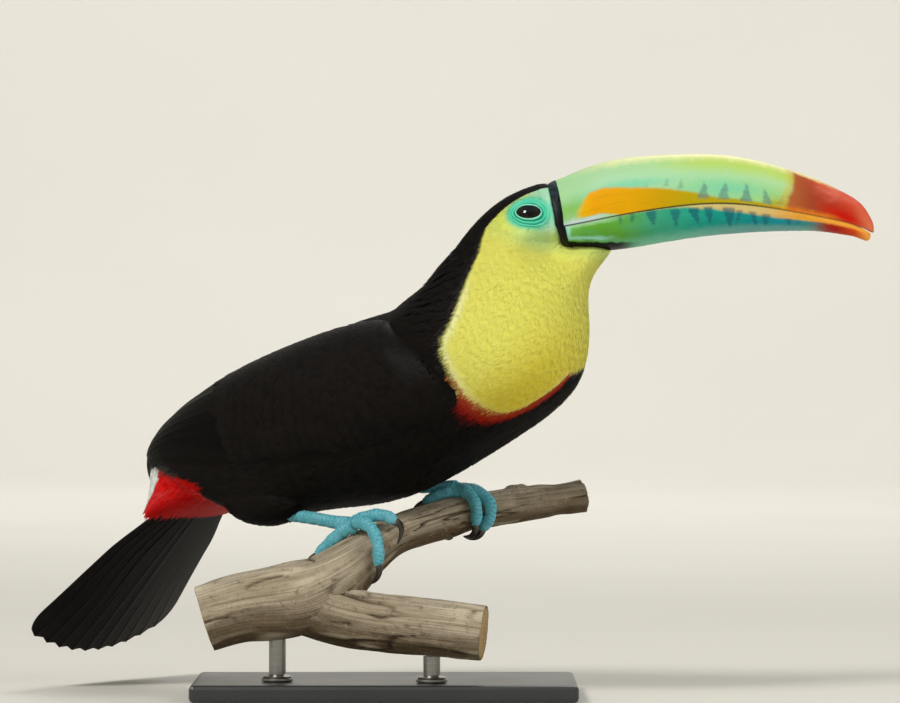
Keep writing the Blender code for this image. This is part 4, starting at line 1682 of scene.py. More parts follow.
@dataclass
class BillPattern:
    """Where the bill's markings lie.

    Each stop of the orange streak is a share of the length with the streak's lower and upper edge
    there, as shares of the height.
    """

    length: float
    streak: dict = field(default_factory=lambda: {
        "front": (0.060, 0.10, 0.28),
        "shoulder": (0.095, 0.10, 0.52),
        "widest": (0.14, 0.09, 0.55),
        "belly": (0.23, -0.05, 0.46),
        "half": (0.31, -0.05, 0.40),
        "thin": (0.42, -0.05, 0.26),
        "line": (0.50, -0.05, 0.13),
        "end": (0.75, -0.05, 0.07),
    })

    def marks(self, share: Array, height: Array) -> Marks:
        """Work out where each marking lies.

        The orange streak lies between two curves of the length. A lattice of smooth random
        heights wears all borders.

        Args:
            share: Share of the bill's length.
            height: Share of the height, negative on the lower half.

        Returns:
            Masks by name.
        """
        grain, along = Grain(21), share * self.length
        wear = grain.layers(along * 0.45, height * 9 + 3) * 0.5
        fine = grain.layers(along * 0.12 + 9, height * 40 + 30) * 0.5
        upper = step(height, -0.001, 0.001)
        stops = rows_of(self.streak)
        low, high = (np.interp(share, stops[:, 0], stops[:, i]) for i in (1, 2))
        start = step(share + (0.25 - np.clip(height, 0, 0.5)) * 0.035 + wear * 0.008, 0.050, 0.082)
        streak = start * step(high - height + wear * 0.010, -0.02, 0.04)
        streak = streak * step(height - low + wear * 0.02, -0.02, 0.02)
        mark = np.zeros_like(share)
        for wedges, rise in ((UPPER_WEDGES, height), (LOWER_WEDGES, -height)):
            for one in wedges:
                inside = self.wedge(one, along, rise, wear * 0.9 + fine * 0.5)
                mark = np.maximum(mark, inside * one.strength * (0.8 + 0.25 * fine))
        red_edge = share + wear * 0.006 + 0.012 * np.sin(height * 5 + 1)
        red = np.where(height >= 0, step(red_edge, 0.724, 0.744), step(share + wear * 0.012, 0.775, 0.865))
        return {"streak": streak * upper, "mark": np.clip(mark, 0, 1), "red": red,
                "gild": bell(red_edge, 0.724, 0.011) * upper, "wear": wear, "fine": fine, "upper": upper}

    def wedge(self, one: Wedge, along: Array, rise: Array, wear: Array) -> Array:
        """Mask one wedge: it narrows with a power of the height and leans by its slant.

        Args:
            one: The wedge.
            along: Distance along the bill.
            rise: Share of the height, counted away from the cutting edge.
            wear: How far the wedge's border wanders.

        Returns:
            The mask.
        """
        run = (rise - one.foot) / (one.tip - one.foot)
        middle = one.place * self.length + one.slant * np.clip(run, -0.3, 1.3)
        half = one.width / 2 * np.clip(1.02 - run, 0, 1) ** 0.8
        inside = step(half - np.abs(along - middle) + wear, -0.45, 0.55)
        return inside * step(run, -0.12, 0.04) * step(1.08 - run, 0, 0.2) * (rise > 0)


class HornFinish:
    """The bill's painted horn: green, lime and aqua, an orange streak, dark marks and a red tip."""

    NAME: ClassVar[str] = "bill horn"
    GREEN: ClassVar[dict] = {0.0: "9CCB92", 0.12: "A2CC9A", 0.3: "A4D09A", 0.5: "9CCE88", 0.75: "A8CE70"}
    GOLD: ClassVar[dict] = {0.05: "E2B400", 0.11: "E09C00", 0.22: "D89E00", 0.32: "C49800", 0.42: "B09C08",
                            0.6: "AE9C12", 0.74: "C08A0A"}
    AQUA: ClassVar[dict] = {0.0: "74BE5C", 0.08: "60A428", 0.2: "5AA23A", 0.3: "3A9E74", 0.42: "129A84",
                            0.55: "00928C", 0.70: "0E929E", 0.78: "3E8A90"}
    TIP: ClassVar[dict] = {0.74: "A85C30", 0.80: "9C4226", 0.86: "AC321A", 0.93: "BE3A20", 1.0: "D87850"}
    LOWER_TIP: ClassVar[dict] = {0.78: "8A7420", 0.83: "A02C02", 0.88: "B41402", 0.94: "D84606",
                                 0.985: "EEA44A"}

    def __init__(self) -> None:
        """Read the marks that all of the colours use."""
        self.paint = Paint(self.NAME)
        self.share, self.height, self.fine, wear = self.paint.attributes("share", "height", "fine", "wear")
        self.cloud = self.paint.noise(self.paint.place((0.5, 1, 1)), 120.0, 3.0)
        self.low = self.height + wear * 0.05
        self.down = 0 - self.low

    def upper(self) -> Socket:
        """Give the upper half's colour, with its streak."""
        paint, share, low = self.paint, self.share, self.low
        aqua = (low.bump(0.50, 0.17) * share.bump(0.22, 0.24)).math(
            "MAXIMUM", low.bump(0.32, 0.30) * share.bump(0.54, 0.26))
        gold = paint.layers(paint.ramp(share, self.GOLD), (self.fine.step(0.12, 0.5) * 0.22, "A88F0A"))
        return paint.layers(
            paint.ramp(share, self.GREEN),
            (share.bump(0.035, 0.12) * low.bump(0.30, 0.34) * 0.95, "7DB658"),
            (low.bump(0.60, 0.26) * share.step(0.06, 0.14) * 0.5, "A8D6B4"),
            (aqua * 0.85, "78CBA4"),
            (low.step(0.52, 0.86) * share.step(0.22, 0.50) * 0.9, "B4CF62"),
            # A painted highlight: a pale line along the ridge.
            (low.step(0.82, 0.99) * share.step(0.0, 0.22) * 0.85, "E4E2A2"),
            (share.bump(0.70, 0.07) * low.bump(0.14, 0.26) * (0.6 + self.fine), "A9A512"),
            ((1 - low.step(0.02, 0.15)) * (1 - share.step(0.10, 0.17)) * 0.8, "C3D0DC"),
            ("streak", gold))

    def lower(self) -> Socket:
        """Give the lower half's colour, paler along the cutting edge and the keel."""
        paint, share, down = self.paint, self.share, self.down
        rim, lip = down.step(0.62, 0.96), 1 - down.step(0.05, 0.2)
        ledge = 1 - (down - share.step(0.28, 0.72) * 0.42).step(-0.08, 0.05)
        return paint.layers(
            paint.ramp(share, self.AQUA),
            ((self.cloud - 0.45).positive() * 0.7, "4DBBA4"),
            (rim * 0.75, "79C7AC"),
            (rim * share.step(0.35, 0.6) * 0.7, "6E9FA3"),
            (ledge * share.step(0.16, 0.34) * 0.9, "D9BC72"),
            (ledge * share.step(0.62, 0.78) * 0.9, "E39A22"),
            (lip * (1 - share.step(0.12, 0.25)) * 0.55, "B5E2B5"))

    def tip(self) -> Socket:
        """Give the red tip's colour, on both halves."""
        paint, share, low = self.paint, self.share, self.low
        upper = paint.layers(
            paint.ramp(share, self.TIP),
            (low.step(0.45, 0.95) * share.step(0.76, 0.86) * 0.75, "D85A44"),
            (low.bump(0.18, 0.36) * share.bump(0.905, 0.10), "C01004"),
            ((1 - low.step(0.02, 0.2)) * (1 - share.step(0.84, 0.92)), "D4761C"),
            (self.cloud.step(0.52, 0.75) * 0.12, "E9A08A"),
            # A painted highlight: a pale line along the red tip's ridge.
            (low.step(0.90, 0.985) * (1 - share.step(0.80, 0.92)) * 0.8, "E8DC8C"))
        lower = paint.layers(paint.ramp(share, self.LOWER_TIP),
                             ((1 - self.down.step(0.28, 0.5)) * 0.95, "F0A63A"))
        return paint.layers(lower, ("upper", upper))

    def material(self) -> Material:
        """Make the material: the halves' colours, the dark marks, the tip and the edges' lines."""
        paint, share = self.paint, self.share
        upper, mark, gild, edge = paint.attributes("upper", "mark", "gild", "edge")
        strip = self.down - share * 0.9
        edging = share.bump(0.030, 0.014) * (1 - upper) * (1 - strip.step(0.5, 0.6))
        beside = (strip.bump(0.50, 0.11) * (1 - share.step(0.12, 0.2))).math("MAXIMUM", edging)
        colour = paint.layers(
            self.lower(), (upper, self.upper()),
            (mark * 0.85, paint.layers("10586A", (upper, "557F78"))),
            (gild * 0.55, "C9A82C"),
            ("red", self.tip()),
            (beside * 0.85, "9FE0D0"),
            (strip.step(0.60, 0.66) * (1 - share.step(0.19, 0.27)), "0B0C0E"),
            # A painted shadow: dark along the cutting edge, standing for the shade in the gap between the
            # two halves.
            ((1 - edge.step(0.22, 0.62)) * (1 - share.step(0.55, 0.8) * 0.55) * 0.9, "2A2A22"),
            ((self.cloud - 0.5).positive() * self.height.step(0.3, 0.8) * 0.25, "E2F0D0"))
        relief = paint.noise(paint.place((0.35, 1, 1)), 700.0, 5.0) + self.fine * 0.6
        return paint.finish(colour, 0.34 + self.cloud * 0.16, relief, 0.05, Specular_IOR_Level=0.13,
                            Coat_Weight=0.05, Coat_Roughness=0.25, Subsurface_Weight=0.05,
                            Subsurface_Radius=(0.003, 0.002, 0.001))


@dataclass(frozen=True)
class BandFinish:
    """Near-black horn with a painted bluish sheen on top and fine creases."""

    name: str = "band horn"

    def material(self) -> Material:
        """Make the material."""
        paint = Paint(self.name)
        fine = paint.noise(paint.place((3.0, 1, 1)), 500.0, 5.0)
        # A painted sheen: the bluish tint on the band's upper part stands for light on its top.
        top_sheen = paint.attribute("height").step(0.1, 0.8)
        colour = paint.layers("040506", (fine * 0.5, "0E1011"),
                              (top_sheen * fine.step(0.35, 0.7) * 0.6, "284850"))
        return paint.finish(colour, 0.36 + fine * 0.2, fine, 0.08, Specular_IOR_Level=0.2)


@dataclass
class Bill:
    """The two halves of the bill and the dark band round its base."""

    form: BillForm
    steps: int = 372
    sides: int = 96
    floor: int = 10
    gap: float = 0.16
    teeth_pitch: float = 2.1
    band_steps: int = 26
    band_sides: int = 176
    band_swell: float = 0.95

    def half(self, upper: bool) -> Shape:
        """Build one half: the outer surface over 180 degrees and a shallow channel inside.

        Fine teeth stand along the cutting edge. Near its tip the half is rounded off and hooks
        down.

        Args:
            upper: Whether it is the upper half.

        Returns:
            The closed shape with its marks.
        """
        arc = np.linspace(0, 1, self.sides)
        arc = arc - 0.055 * np.sin(2 * math.pi * arc)
        angle = np.broadcast_to(((0 if upper else 180) + 180 * arc)[None, :], (self.steps, self.sides))
        run = np.linspace(0, 1, self.steps)[:, None] ** 0.97
        height = np.sin(np.radians(angle))
        start = self.form.band_edges(height)[1] - 0.04
        place = start + (len(self.form.rows) - 1 - start) * run
        gap = self.gap + 0.32 * step(run, 0.86, 0.94) * np.ones_like(place)
        rings = self.form.point(place, angle, 0.0, gap)
        x = rings[..., 0].copy()
        near_edge = np.exp(-(height / 0.10) ** 2) * step(x, 96, 120) * (1 - step(x, 205, 215))
        rings[..., 2] += (0.16 if upper else -0.10) * (x / self.teeth_pitch % 1.0) ** 2 * near_edge
        growth = Grain(31).layers(x * 0.30, height * 5.0 + 9)
        normal = unit(np.stack([0 * height, np.cos(np.radians(angle)), height], -1))
        rings = rings + normal * (growth * 0.07)[..., None]
        section = np.concatenate([rings, self.channel(rings, run, upper)], 1)
        blunt = np.sqrt(np.clip(1 - np.clip((run - 0.972) / 0.028, 0, 1) ** 2, 0.02, 1))[..., None]
        hook = 0.55 * step(run, 0.955, 1.0) if upper else 0.9 * step(run, 0.86, 0.98)
        section = section - UP * hook[..., None]
        middle = section.mean(1, keepdims=True) - UP * (0.6 if upper else 0.0)
        section = middle + (section - middle) * blunt
        made = tube(section)
        inside = np.broadcast_to(place[:, -1:], (self.steps, self.floor))
        share, rise, edge = self.form.shares(section, np.concatenate([place, inside], 1))
        marks = BillPattern(self.form.length).marks(share, rise)
        marks |= {"share": share, "height": rise, "edge": edge}
        for key, values in marks.items():
            flat = values.ravel()
            made.marks[key] = np.append(flat, flat[[0, -1]])
        return made

    def channel(self, rings: Array, run: Array, upper: bool) -> Array:
        """Give the inner side's points: from edge to edge, with a shallow arch.

        Args:
            rings: The outer surface's points.
            run: Share of the length of each ring.
            upper: Whether it is the upper half.

        Returns:
            Points by ring and by side.
        """
        shut = (0.5 * (1 - np.cos(math.pi * np.linspace(0, 1, self.floor + 2))))[1:-1]
        left, right = rings[:, :1], rings[:, -1:]
        hollow = (np.sin(math.pi * shut) * 1.2)[None, :, None] * (UP if upper else -UP)
        return right + (left - right) * shut[None, :, None] + hollow * (1 - step(run, 0.7, 0.97))[..., None]

    def band(self) -> Shape:
        """Build the dark raised band: a rounded collar whose front edge follows the bill.

        Returns:
            The closed shape with its height as a mark.
        """
        s, turn = np.linspace(0.0, 1.0, self.band_steps)[:, None], circle(self.band_sides)[None, :]
        angle, height = np.degrees(turn), np.sin(turn)
        start, end = self.form.band_edges(height)
        dome = np.clip(1 - np.abs(2 * s - 1) ** 3.5, 0, 1) ** 0.5
        lift = self.band_swell * dome * (1 - 0.75 * step(height, 0.55, 0.98)) - 0.7 * (1 - dome)
        wobble = Grain(77).layers(height * 6 + 3 * np.cos(turn) + 20, s * 4 + 9) * 0.10
        rings = self.form.point(start + (end - start) * s, angle + 0 * s, lift + wobble * dome)
        made = tube(rings)
        made.marks["height"] = np.append((height + 0 * s).ravel(), [0, 0])
        return made

    def build(self) -> None:
        """Build and dress both halves and the band."""
        horn = HornFinish().material()
        self.half(True).piece("bill_upper_horn", horn, "bill_green", ["bill_upper"], 60)
        self.half(False).piece("bill_lower_horn", horn, "bill_blue", ["bill_lower"], 60)
        self.band().piece("bill_band_horn", BandFinish().material(), "bill_black", ["bill_band"], 60)


# ---------------------------------------------------------------- eyes

@dataclass(frozen=True)
class EyeFinish:
    """A dark brown iris with radial threads and a black pupil under a wet coat."""

    name: str = "eye"
    iris: float = 5.9
    pupil: float = 3.1

    def material(self) -> Material:
        """Make the material."""
        paint = Paint(self.name)
        off_axis = paint.attribute("off_axis")
        iris = paint.layers("0C0604", (paint.noise(paint.place(), 1400.0), "22120A"))
        colour = paint.layers("020202", (off_axis.step(self.pupil - 0.3, self.pupil + 0.3), iris),
                              (off_axis.step(self.iris - 0.7, self.iris), "0A0707"))
        return paint.finish(colour, 0.08, Coat_Weight=0.35, Coat_Roughness=0.03, Specular_IOR_Level=0.35)


@dataclass
class Eyeball:
    """One eyeball under a clear wet surface."""

    eye: EyePlace
    rings: int = 48
    sides: int = 64
    cornea: float = 0.28

    def build(self, material: Material) -> None:
        """Build the ball from rings round its own axis, with a slight corneal swell.

        Args:
            material: The eye's finish.
        """
        tilt = np.linspace(0.02, math.pi - 0.02, self.rings)[:, None]
        turn = circle(self.sides)[None, :]
        radius = self.eye.radius + self.cornea * np.exp(-(tilt / 0.5) ** 2)
        ring = self.eye.ahead * np.cos(turn)[..., None] + self.eye.up * np.sin(turn)[..., None]
        way = self.eye.outward * np.cos(tilt)[..., None] + ring * np.sin(tilt)[..., None]
        made = tube(self.eye.centre + radius[..., None] * way)
        off_axis = self.eye.radius * np.sin(tilt) * np.ones_like(turn)
        made.marks["off_axis"] = np.append(off_axis.ravel(), [0, 0])
        label = self.eye.side.label
        made.piece(f"eyeball_{label}", material, "eye", [f"eye_{label}"], 60)


# ---------------------------------------------------------------- perch

@dataclass
class Branch:
    """One limb of dry wood: a smooth centre line with a radius, bark relief and cut ends."""

    stations: dict
    steps: int
    seed: int
    sides: int = 112
    wave: float = 0.05
    bare: float = 0.15
    RIDGES: ClassVar[tuple] = ((16, 26.0, 0.55), (32, 15.0, 0.36), (64, 8.0, 0.2))
    SHRINK: ClassVar[Array] = np.array([0.985, 0.93, 0.8, 0.62, 0.42, 0.2])

    def __post_init__(self) -> None:
        """Read the table once."""
        self.rows = rows_of(self.stations)

    def line(self, place: Array) -> tuple[Array, Array, Array]:
        """Give centre, direction and radius at a place."""
        centre, after, before = (smooth(self.rows, place + off) for off in (0, 0.01, -0.01))
        return centre[..., :3], unit(after[..., :3] - before[..., :3]), centre[..., 3]

    def bark(self, run: Array, angle: Array) -> tuple[Array, Array]:
        """Give the bark's height in millimetres and how deep its cracks are.

        Ridges run along the limb: smooth lattice noise stretched lengthwise, plus thin cracks
        where a second stretched pattern passes through zero, and shallow dents.

        Args:
            run: Distance along the limb in millimetres.
            angle: Angle round it in radians.

        Returns:
            Height and crack depth.
        """
        grain, around = Grain(self.seed), angle / (2 * math.pi)
        ridges = 0.0 * run
        for lines, pitch, tall in self.RIDGES:
            ridges = ridges + tall * grain(around * lines + 0.004 * run * lines / 16, run / pitch + lines)
        path = grain(around * 16 + 3.3, run / 38.0 + 9) + 0.45 * grain(around * 32 + 8.1, run / 17.0 + 2)
        cracks = np.exp(-(path / 0.07) ** 2) * step(grain(around * 8 + 5, run / 30.0), -0.35, 0.35)
        dents = step(grain(around * 4 + 2.2, run / 21.0 + 5), 0.45, 0.95) * 1.1
        return ridges - cracks * 0.85 - dents, cracks

    def knots(self, run: Array, angle: Array) -> tuple[Array, Array]:
        """Give the height of knots and how dark they are; a plain limb has none."""
        return 0 * (run + angle), 0 * (run + angle)

    def build(self) -> Shape:
        """Build the limb as rings from cut end to cut end, each end closed by a sawn face.

        Returns:
            The closed shape with its marks.
        """
        place = np.linspace(0, len(self.rows) - 1, self.steps)
        centre, ahead, radius = self.line(place)
        run, angle, place = run_of(centre)[:, None], circle(self.sides)[None, :], place[:, None]
        side = unit(np.cross(UP, ahead))
        rise = np.cross(ahead, side)
        sway = np.sin(3 * angle + 1.3 * place) + np.sin(2 * angle - 2.1 * place)
        relief, cracks = self.bark(run, angle)
        knots, dark = self.knots(run, angle)
        full = radius[:, None] * (1 + self.wave / 2 * sway) - self.bare + relief + knots
        ring = side[:, None] * np.cos(angle)[..., None] + rise[:, None] * np.sin(angle)[..., None]
        rings = centre[:, None] + ring * full[..., None]
        none = 0 * relief
        marks = {"crack": np.maximum(cracks, dark), "relief": relief, "under": -np.sin(angle) + none,
                 "cut": none, "ring": none, "run": run + none, "around": angle + none}
        rings, marks = self.cap(rings, marks, centre, ahead)
        made = tube(rings)
        for key, values in marks.items():
            made.marks[key] = np.append(values.ravel(), [values[0].mean(), values[-1].mean()])
        return made

    def cap(self, rings: Array, marks: Marks, centre: Array, ahead: Array) -> tuple[Array, Marks]:
        """Add sawn end faces as rings that draw in to the middle, a little uneven.

        Args:
            rings: The limb's rings.
            marks: Their marks.
            centre: Ring centres.
            ahead: Ring directions.

        Returns:
            The rings and marks with the added ones.
        """
        share, count = self.SHRINK[:, None], len(self.SHRINK)
        rough = Grain(self.seed + 50)(np.arange(self.sides)[None, :] / 7.0, share * 9) * 0.25
        dome = 0.5 * (1 - share[..., None] ** 4) + rough[..., None]
        start, end = (centre[k] + (rings[k] - centre[k]) * share[..., None] + ahead[k] * way * dome
                      for k, way in ((0, -1), (-1, 1)))
        sawn = {"cut": (1, 1), "ring": (share[::-1], share), "crack": (0, 0), "relief": (0, 0)}
        made = {}
        for key, values in marks.items():
            first, last = np.repeat(values[:1], count, 0), np.repeat(values[-1:], count, 0)
            if key in sawn:
                first, last = (0 * first + item for item in sawn[key])
            made[key] = np.concatenate([first, values, last])
        return np.concatenate([start[::-1], rings, end]), made


@dataclass
class MainLimb(Branch):
    """The limb that the bird grips, with healed knots.

    A knot is its distance along the limb, its angle, its size and its height.
    """

    knot_places: tuple = ((62.0, -0.55, 7.5, 1.6), (100.0, 0.35, 6.0, 1.8), (168.0, 1.5, 4.2, 1.6))

    def knots(self, run: Array, angle: Array) -> tuple[Array, Array]:
        """Raise a rounded collar round each knot and sink its dark middle.

        Args:
            run: Distance along the limb in millimetres.
            angle: Angle round it in radians.

        Returns:
            Height, and how dark the knots are.
        """
        height, dark = super().knots(run, angle)
        for at, turn, size, tall in self.knot_places:
            off = (angle - turn + math.pi) % (2 * math.pi) - math.pi
            far = np.hypot((run - at) / size, off * 15.0 / size)
            height = height + tall * bell(far, 0.8, 0.45) - 1.2 * bell(far, 0.0, 0.35)
            dark = np.maximum(dark, 0.9 * bell(far, 0.0, 0.42))
        return height, dark


PERCH_LINE = {
    "cut end": ((-84, -25, 38), 15.5),
    "stem": ((-62, -24, 43.5), 16),
    "fork": ((-38, -21, 47), 18),
    "knob": ((-18, -17, 59), 13.5),
    "arm": ((0, -8, 73.5), 9.5),
    "second foot": ((16, 3, 80), 9.4),
    "far foot": ((34, 12, 84.5), 9),
    "crook": ((56, 20, 88), 8.4),
    "thin end": ((94, 32, 93), 8),
}
FORK_LINE = {
    "inside": ((-34, -23, 44), 15),
    "throat": ((-12, -26, 37.5), 13.5),
    "limb": ((16, -29, 34), 14),
    "cut end": ((46, -33, 31), 13),
}


@dataclass(frozen=True)
class BarkFinish:
    """Dry grey-brown wood with long fibres, dark cracks, paler raised ridges over darker low bark, painted
    shade on the underside, and sawn ends.
    """

    name: str = "dry bark"
    fibres: tuple = ((0.28, "6A5C48"), (0.45, "9E907A"), (0.58, "BAAE98"), (0.75, "D2C9B6"))

    def material(self) -> Material:
        """Make the material; the fibres follow the limb's own length and round."""
        paint = Paint(self.name)
        run, around, ridge = paint.attributes("run", "around", "relief")
        under, crack, ring = paint.attributes("under", "crack", "ring")
        vector = paint.node("CombineXYZ", None, {
            0: run * 0.012, 1: around.math("SINE") * 0.9, 2: around.math("COSINE") * 0.9}).outputs[0]
        fibre = paint.noise(paint.place((1.0, 14.0, 14.0), vector), 1.6, 7.0, 0.62)
        broad, place = paint.noise(vector, 1.7), paint.place()
        speck, crust = paint.noise(place, 620.0, 5.0, 0.6), paint.noise(place, 260.0, 6.0, 0.7)
        growth = (ring * 52 + speck * 3).wave()
        sawn = paint.layers("C9AE7E", (growth * 0.6 + speck * 0.3, "8F6F42"),
                            (ring.step(0.86, 0.97), "6B543A"))
        colour = paint.layers(
            paint.ramp(fibre, dict(self.fibres)),
            (broad.step(0.42, 0.66) * 0.5, "8A7C62"),
            ((1 - broad.step(0.3, 0.48)) * 0.45, "BDB39C"),
            # Painted shade: the underside of each limb is darker.
            (under.step(-0.35, 0.7) * 0.85, "4E3B20"),
            # Paler on raised ridges and darker where the bark lies low, by the relief's height.
            (ridge.step(0.15, 0.75) * 0.55, "D8CBB0"),
            ((0 - ridge).step(0.1, 1.3) * 0.6, "5B4A33"),
            (crack * 0.8, "2E2418"),
            (speck.step(0.58, 0.72) * 0.4, "51432F"),
            (crust.step(0.54, 0.68) * 0.25, "BEB6A2"),
            ((1 - crust.step(0.34, 0.44)) * 0.5, "4E4030"),
            ("cut", sawn))
        relief = fibre * 0.8 + speck * 0.5 + crust * 0.9
        return paint.finish(colour, 0.78 + speck * 0.15, relief, 0.8, Specular_IOR_Level=0.25)


# ---------------------------------------------------------------- legs, feet and claws

@dataclass
class Foot:
    """One leg from the heel down, with four toes round the perch and their claws.

    A toe is its degrees outward from straight ahead and its length.
    """

    perch: Branch
    side: Side
    grip: float
    heel: Colour
    turn: float = 32.0
    toe_root: float = 3.1
    toe_end: float = 2.4
    toe_start: float = -7.0
    claw_length: float = 9.5
    tarsus: float = 2.9
    scute: float = 2.1
    row: float = 0.95
    cushion: float = 5.2
    pitch: float = 0.5
    toes: dict = field(default_factory=lambda: {
        "inner front": (-12, 27),
        "outer front": (11, 35),
        "outer back": (160, 27),
        "inner back": (200, 20),
    })

    def wrap(self, turn: float, length: float) -> tuple[Array, Array]:
        """Wrap a line over the perch in the upright plane of a heading.

        The plane cuts the round limb in an ellipse, and the line keeps one toe radius outside it.

        Args:
            turn: Degrees outward from straight ahead.
            length: How far it goes in millimetres.

        Returns:
            The points, and their outward directions from the perch.
        """
        centre, ahead, radius = self.perch.line(np.array(self.grip))
        angle = np.radians(np.linspace(self.toe_start, 172, 240))[:, None]
        ray = heading(self.turn - turn * self.side) * np.sin(angle) + UP * np.cos(angle)
        share = np.linspace(0, 1, len(angle))[:, None]
        slant = np.sqrt(1 - (ray @ ahead)[:, None] ** 2)
        path = centre + ray * (radius + self.toe_root - 0.7 * share) / slant
        run, marks = run_of(path), np.arange(0, length, self.pitch)
        points = np.stack([np.interp(marks, run, path[:, k]) for k in range(3)], 1)
        return points, unit(points - centre)

    def scales(self, run: Array, angle: Array, pitch: float) -> tuple[Array, Array]:
        """Give the height of overlapping scutes on top, small scales beside and pads beneath.

        Args:
            run: Distance along in millimetres.
            angle: Angle round in radians, 0 on top.
            pitch: Length of one scute.

        Returns:
            Heights in millimetres, and how deep the grooves are, which the skin's finish paints as shade.
        """
        top, under = step(np.cos(angle), 0.05, 0.55), step(-np.cos(angle), 0.35, 0.8)
        beside = (1 - top) * (1 - under)
        tooth = (run + 0.5 * pitch * (1 - np.cos(angle))) / pitch % 1.0
        groove = bell(np.minimum(tooth, 1 - tooth), 0.0, 0.11)
        small = np.abs(np.sin(4.5 * angle + 1.2 * np.floor(run / self.row)))
        small = np.abs(np.sin(run * math.pi / self.row)) * small
        swell = np.abs(np.sin(run * math.pi / self.cushion))
        height = 0.20 * (1 - tooth - groove) * top + (0.10 * small - 0.04) * beside
        height = height + 0.32 * swell ** 0.6 * under
        # The second number paints shade into the grooves between scutes, between the small side scales and
        # between the pads beneath.
        return height, groove * top + (1 - small) ** 3 * 0.7 * beside + (1 - swell) ** 4 * under * 0.8

    def limb(self, path: Array, up: Array, radius: Array, pitch: float, sides: int = 30) -> Shape:
        """Sweep a scaled limb along a path.

        Args:
            path: Centres.
            up: The way that the scutes face.
            radius: Radius at each centre.
            pitch: Length of one scute.
            sides: Points in a section.

        Returns:
            The closed shape with the skin's marks.
        """
        run, angle = run_of(path)[:, None], circle(sides)[None, :]
        height, crease = self.scales(run, angle, pitch)
        rings = sweep(path, radius[:, None] * (1 - 0.10 * np.abs(np.sin(angle))) + height, sides, up)
        made = tube(rings)
        made.marks = {key: np.zeros(len(made.points)) for key in SKIN_MARKS}
        made.marks["leg"] = np.ones(len(made.points))
        made.marks["crease"] = np.append(crease.ravel(), [0, 0])
        home = np.array([0.02 + 0.02 * self.grip, 0.975])
        made.charts["OFBake"] = home + chart_of(rings, run * 0.0006, angle * 0.003)
        return made

    def skin(self) -> list[Shape]:
        """Build tarsus, heel joint, foot pad and toes.

        Returns:
            Their shapes.
        """
        pad, heel = self.wrap(0, 20)[0][0] + np.array([0.5, 0, 0.6]), np.array(self.heel, float)
        share = np.linspace(-0.01, 1, 90)[:, None]
        leg = heel + (pad - heel) * share + np.sin(np.clip(share, 0, 1) * math.pi) * np.array([0, 0, 0.8])
        swell = 1 + 0.10 * bell(share[:, 0], 0.0, 0.10) + 0.34 * bell(share[:, 0], 1.0, 0.12)
        shapes = [self.limb(leg, np.array([0.2, -0.2, 1.0]), self.tarsus * swell, self.scute, 34)]
        for turn, length in self.toes.values():
            points, away = self.wrap(turn, length)
            run = np.linspace(0, 1, len(points))
            joints = sum(bell(run, at, 0.07) for at in (0.30, 0.58, 0.83)) * 0.36
            radius = self.toe_root + (self.toe_end - self.toe_root) * run + joints
            shapes.append(self.limb(points, away, radius * (1 - 0.35 * step(run, 0.93, 1.0)), 1.75))
        around = np.linspace(-1, 1, 26)
        core = pad + np.array([0, 0, -0.6]) + heading(self.turn) * (around * 4.6)[:, None]
        radius = 3.9 * np.sqrt(np.clip(1 - around ** 2, 0.01, 1)) ** 0.8
        return [*shapes, self.limb(core, UP, radius, 1.7)]

    def claws(self, sides: int = 20) -> list[Shape]:
        """Build four curved claws, deeper than wide, that grow out of the toes' ends.

        Args:
            sides: Points in a section.

        Returns:
            Their shapes.
        """
        shapes = []
        for turn, length in self.toes.values():
            points, away = self.wrap(turn, length + self.claw_length)
            keep = int((length - 2.2) / self.pitch)
            points, away = points[keep:], away[keep:]
            run, angle = np.linspace(0, 1, len(points)), circle(sides)
            arch = 2.2 * np.sin(math.pi * np.clip((run - 0.08) / 0.92, 0, 1) ** 0.9) - 1.0 * run
            oval = 1 + 0.14 * np.abs(np.cos(angle)) - 0.16 * np.abs(np.sin(angle))
            radius = (1.75 * (1 - run) ** 0.62 + 0.12)[:, None] * oval
            made = tube(sweep(points + away * arch[:, None], radius, sides, away))
            made.marks["run"] = np.append(np.repeat(run, sides), [0, 1])
            shapes.append(made)
        return shapes


@dataclass(frozen=True)
class ClawFinish:
    """Brown-black horn, paler where it leaves the toe, finely lined along."""

    name: str = "claw horn"

    def material(self) -> Material:
        """Make the material."""
        paint = Paint(self.name)
        lines = paint.noise(paint.place(), 1500.0)
        colour = paint.layers("17110D", (lines * 0.5, "3A2A1E"),
                              ((1 - paint.attribute("run").step(0.08, 0.35)) * 0.6, "5B5A50"))
        return paint.finish(colour, 0.28 + lines * 0.15, lines, 0.04, Coat_Weight=0.3, Coat_Roughness=0.25)


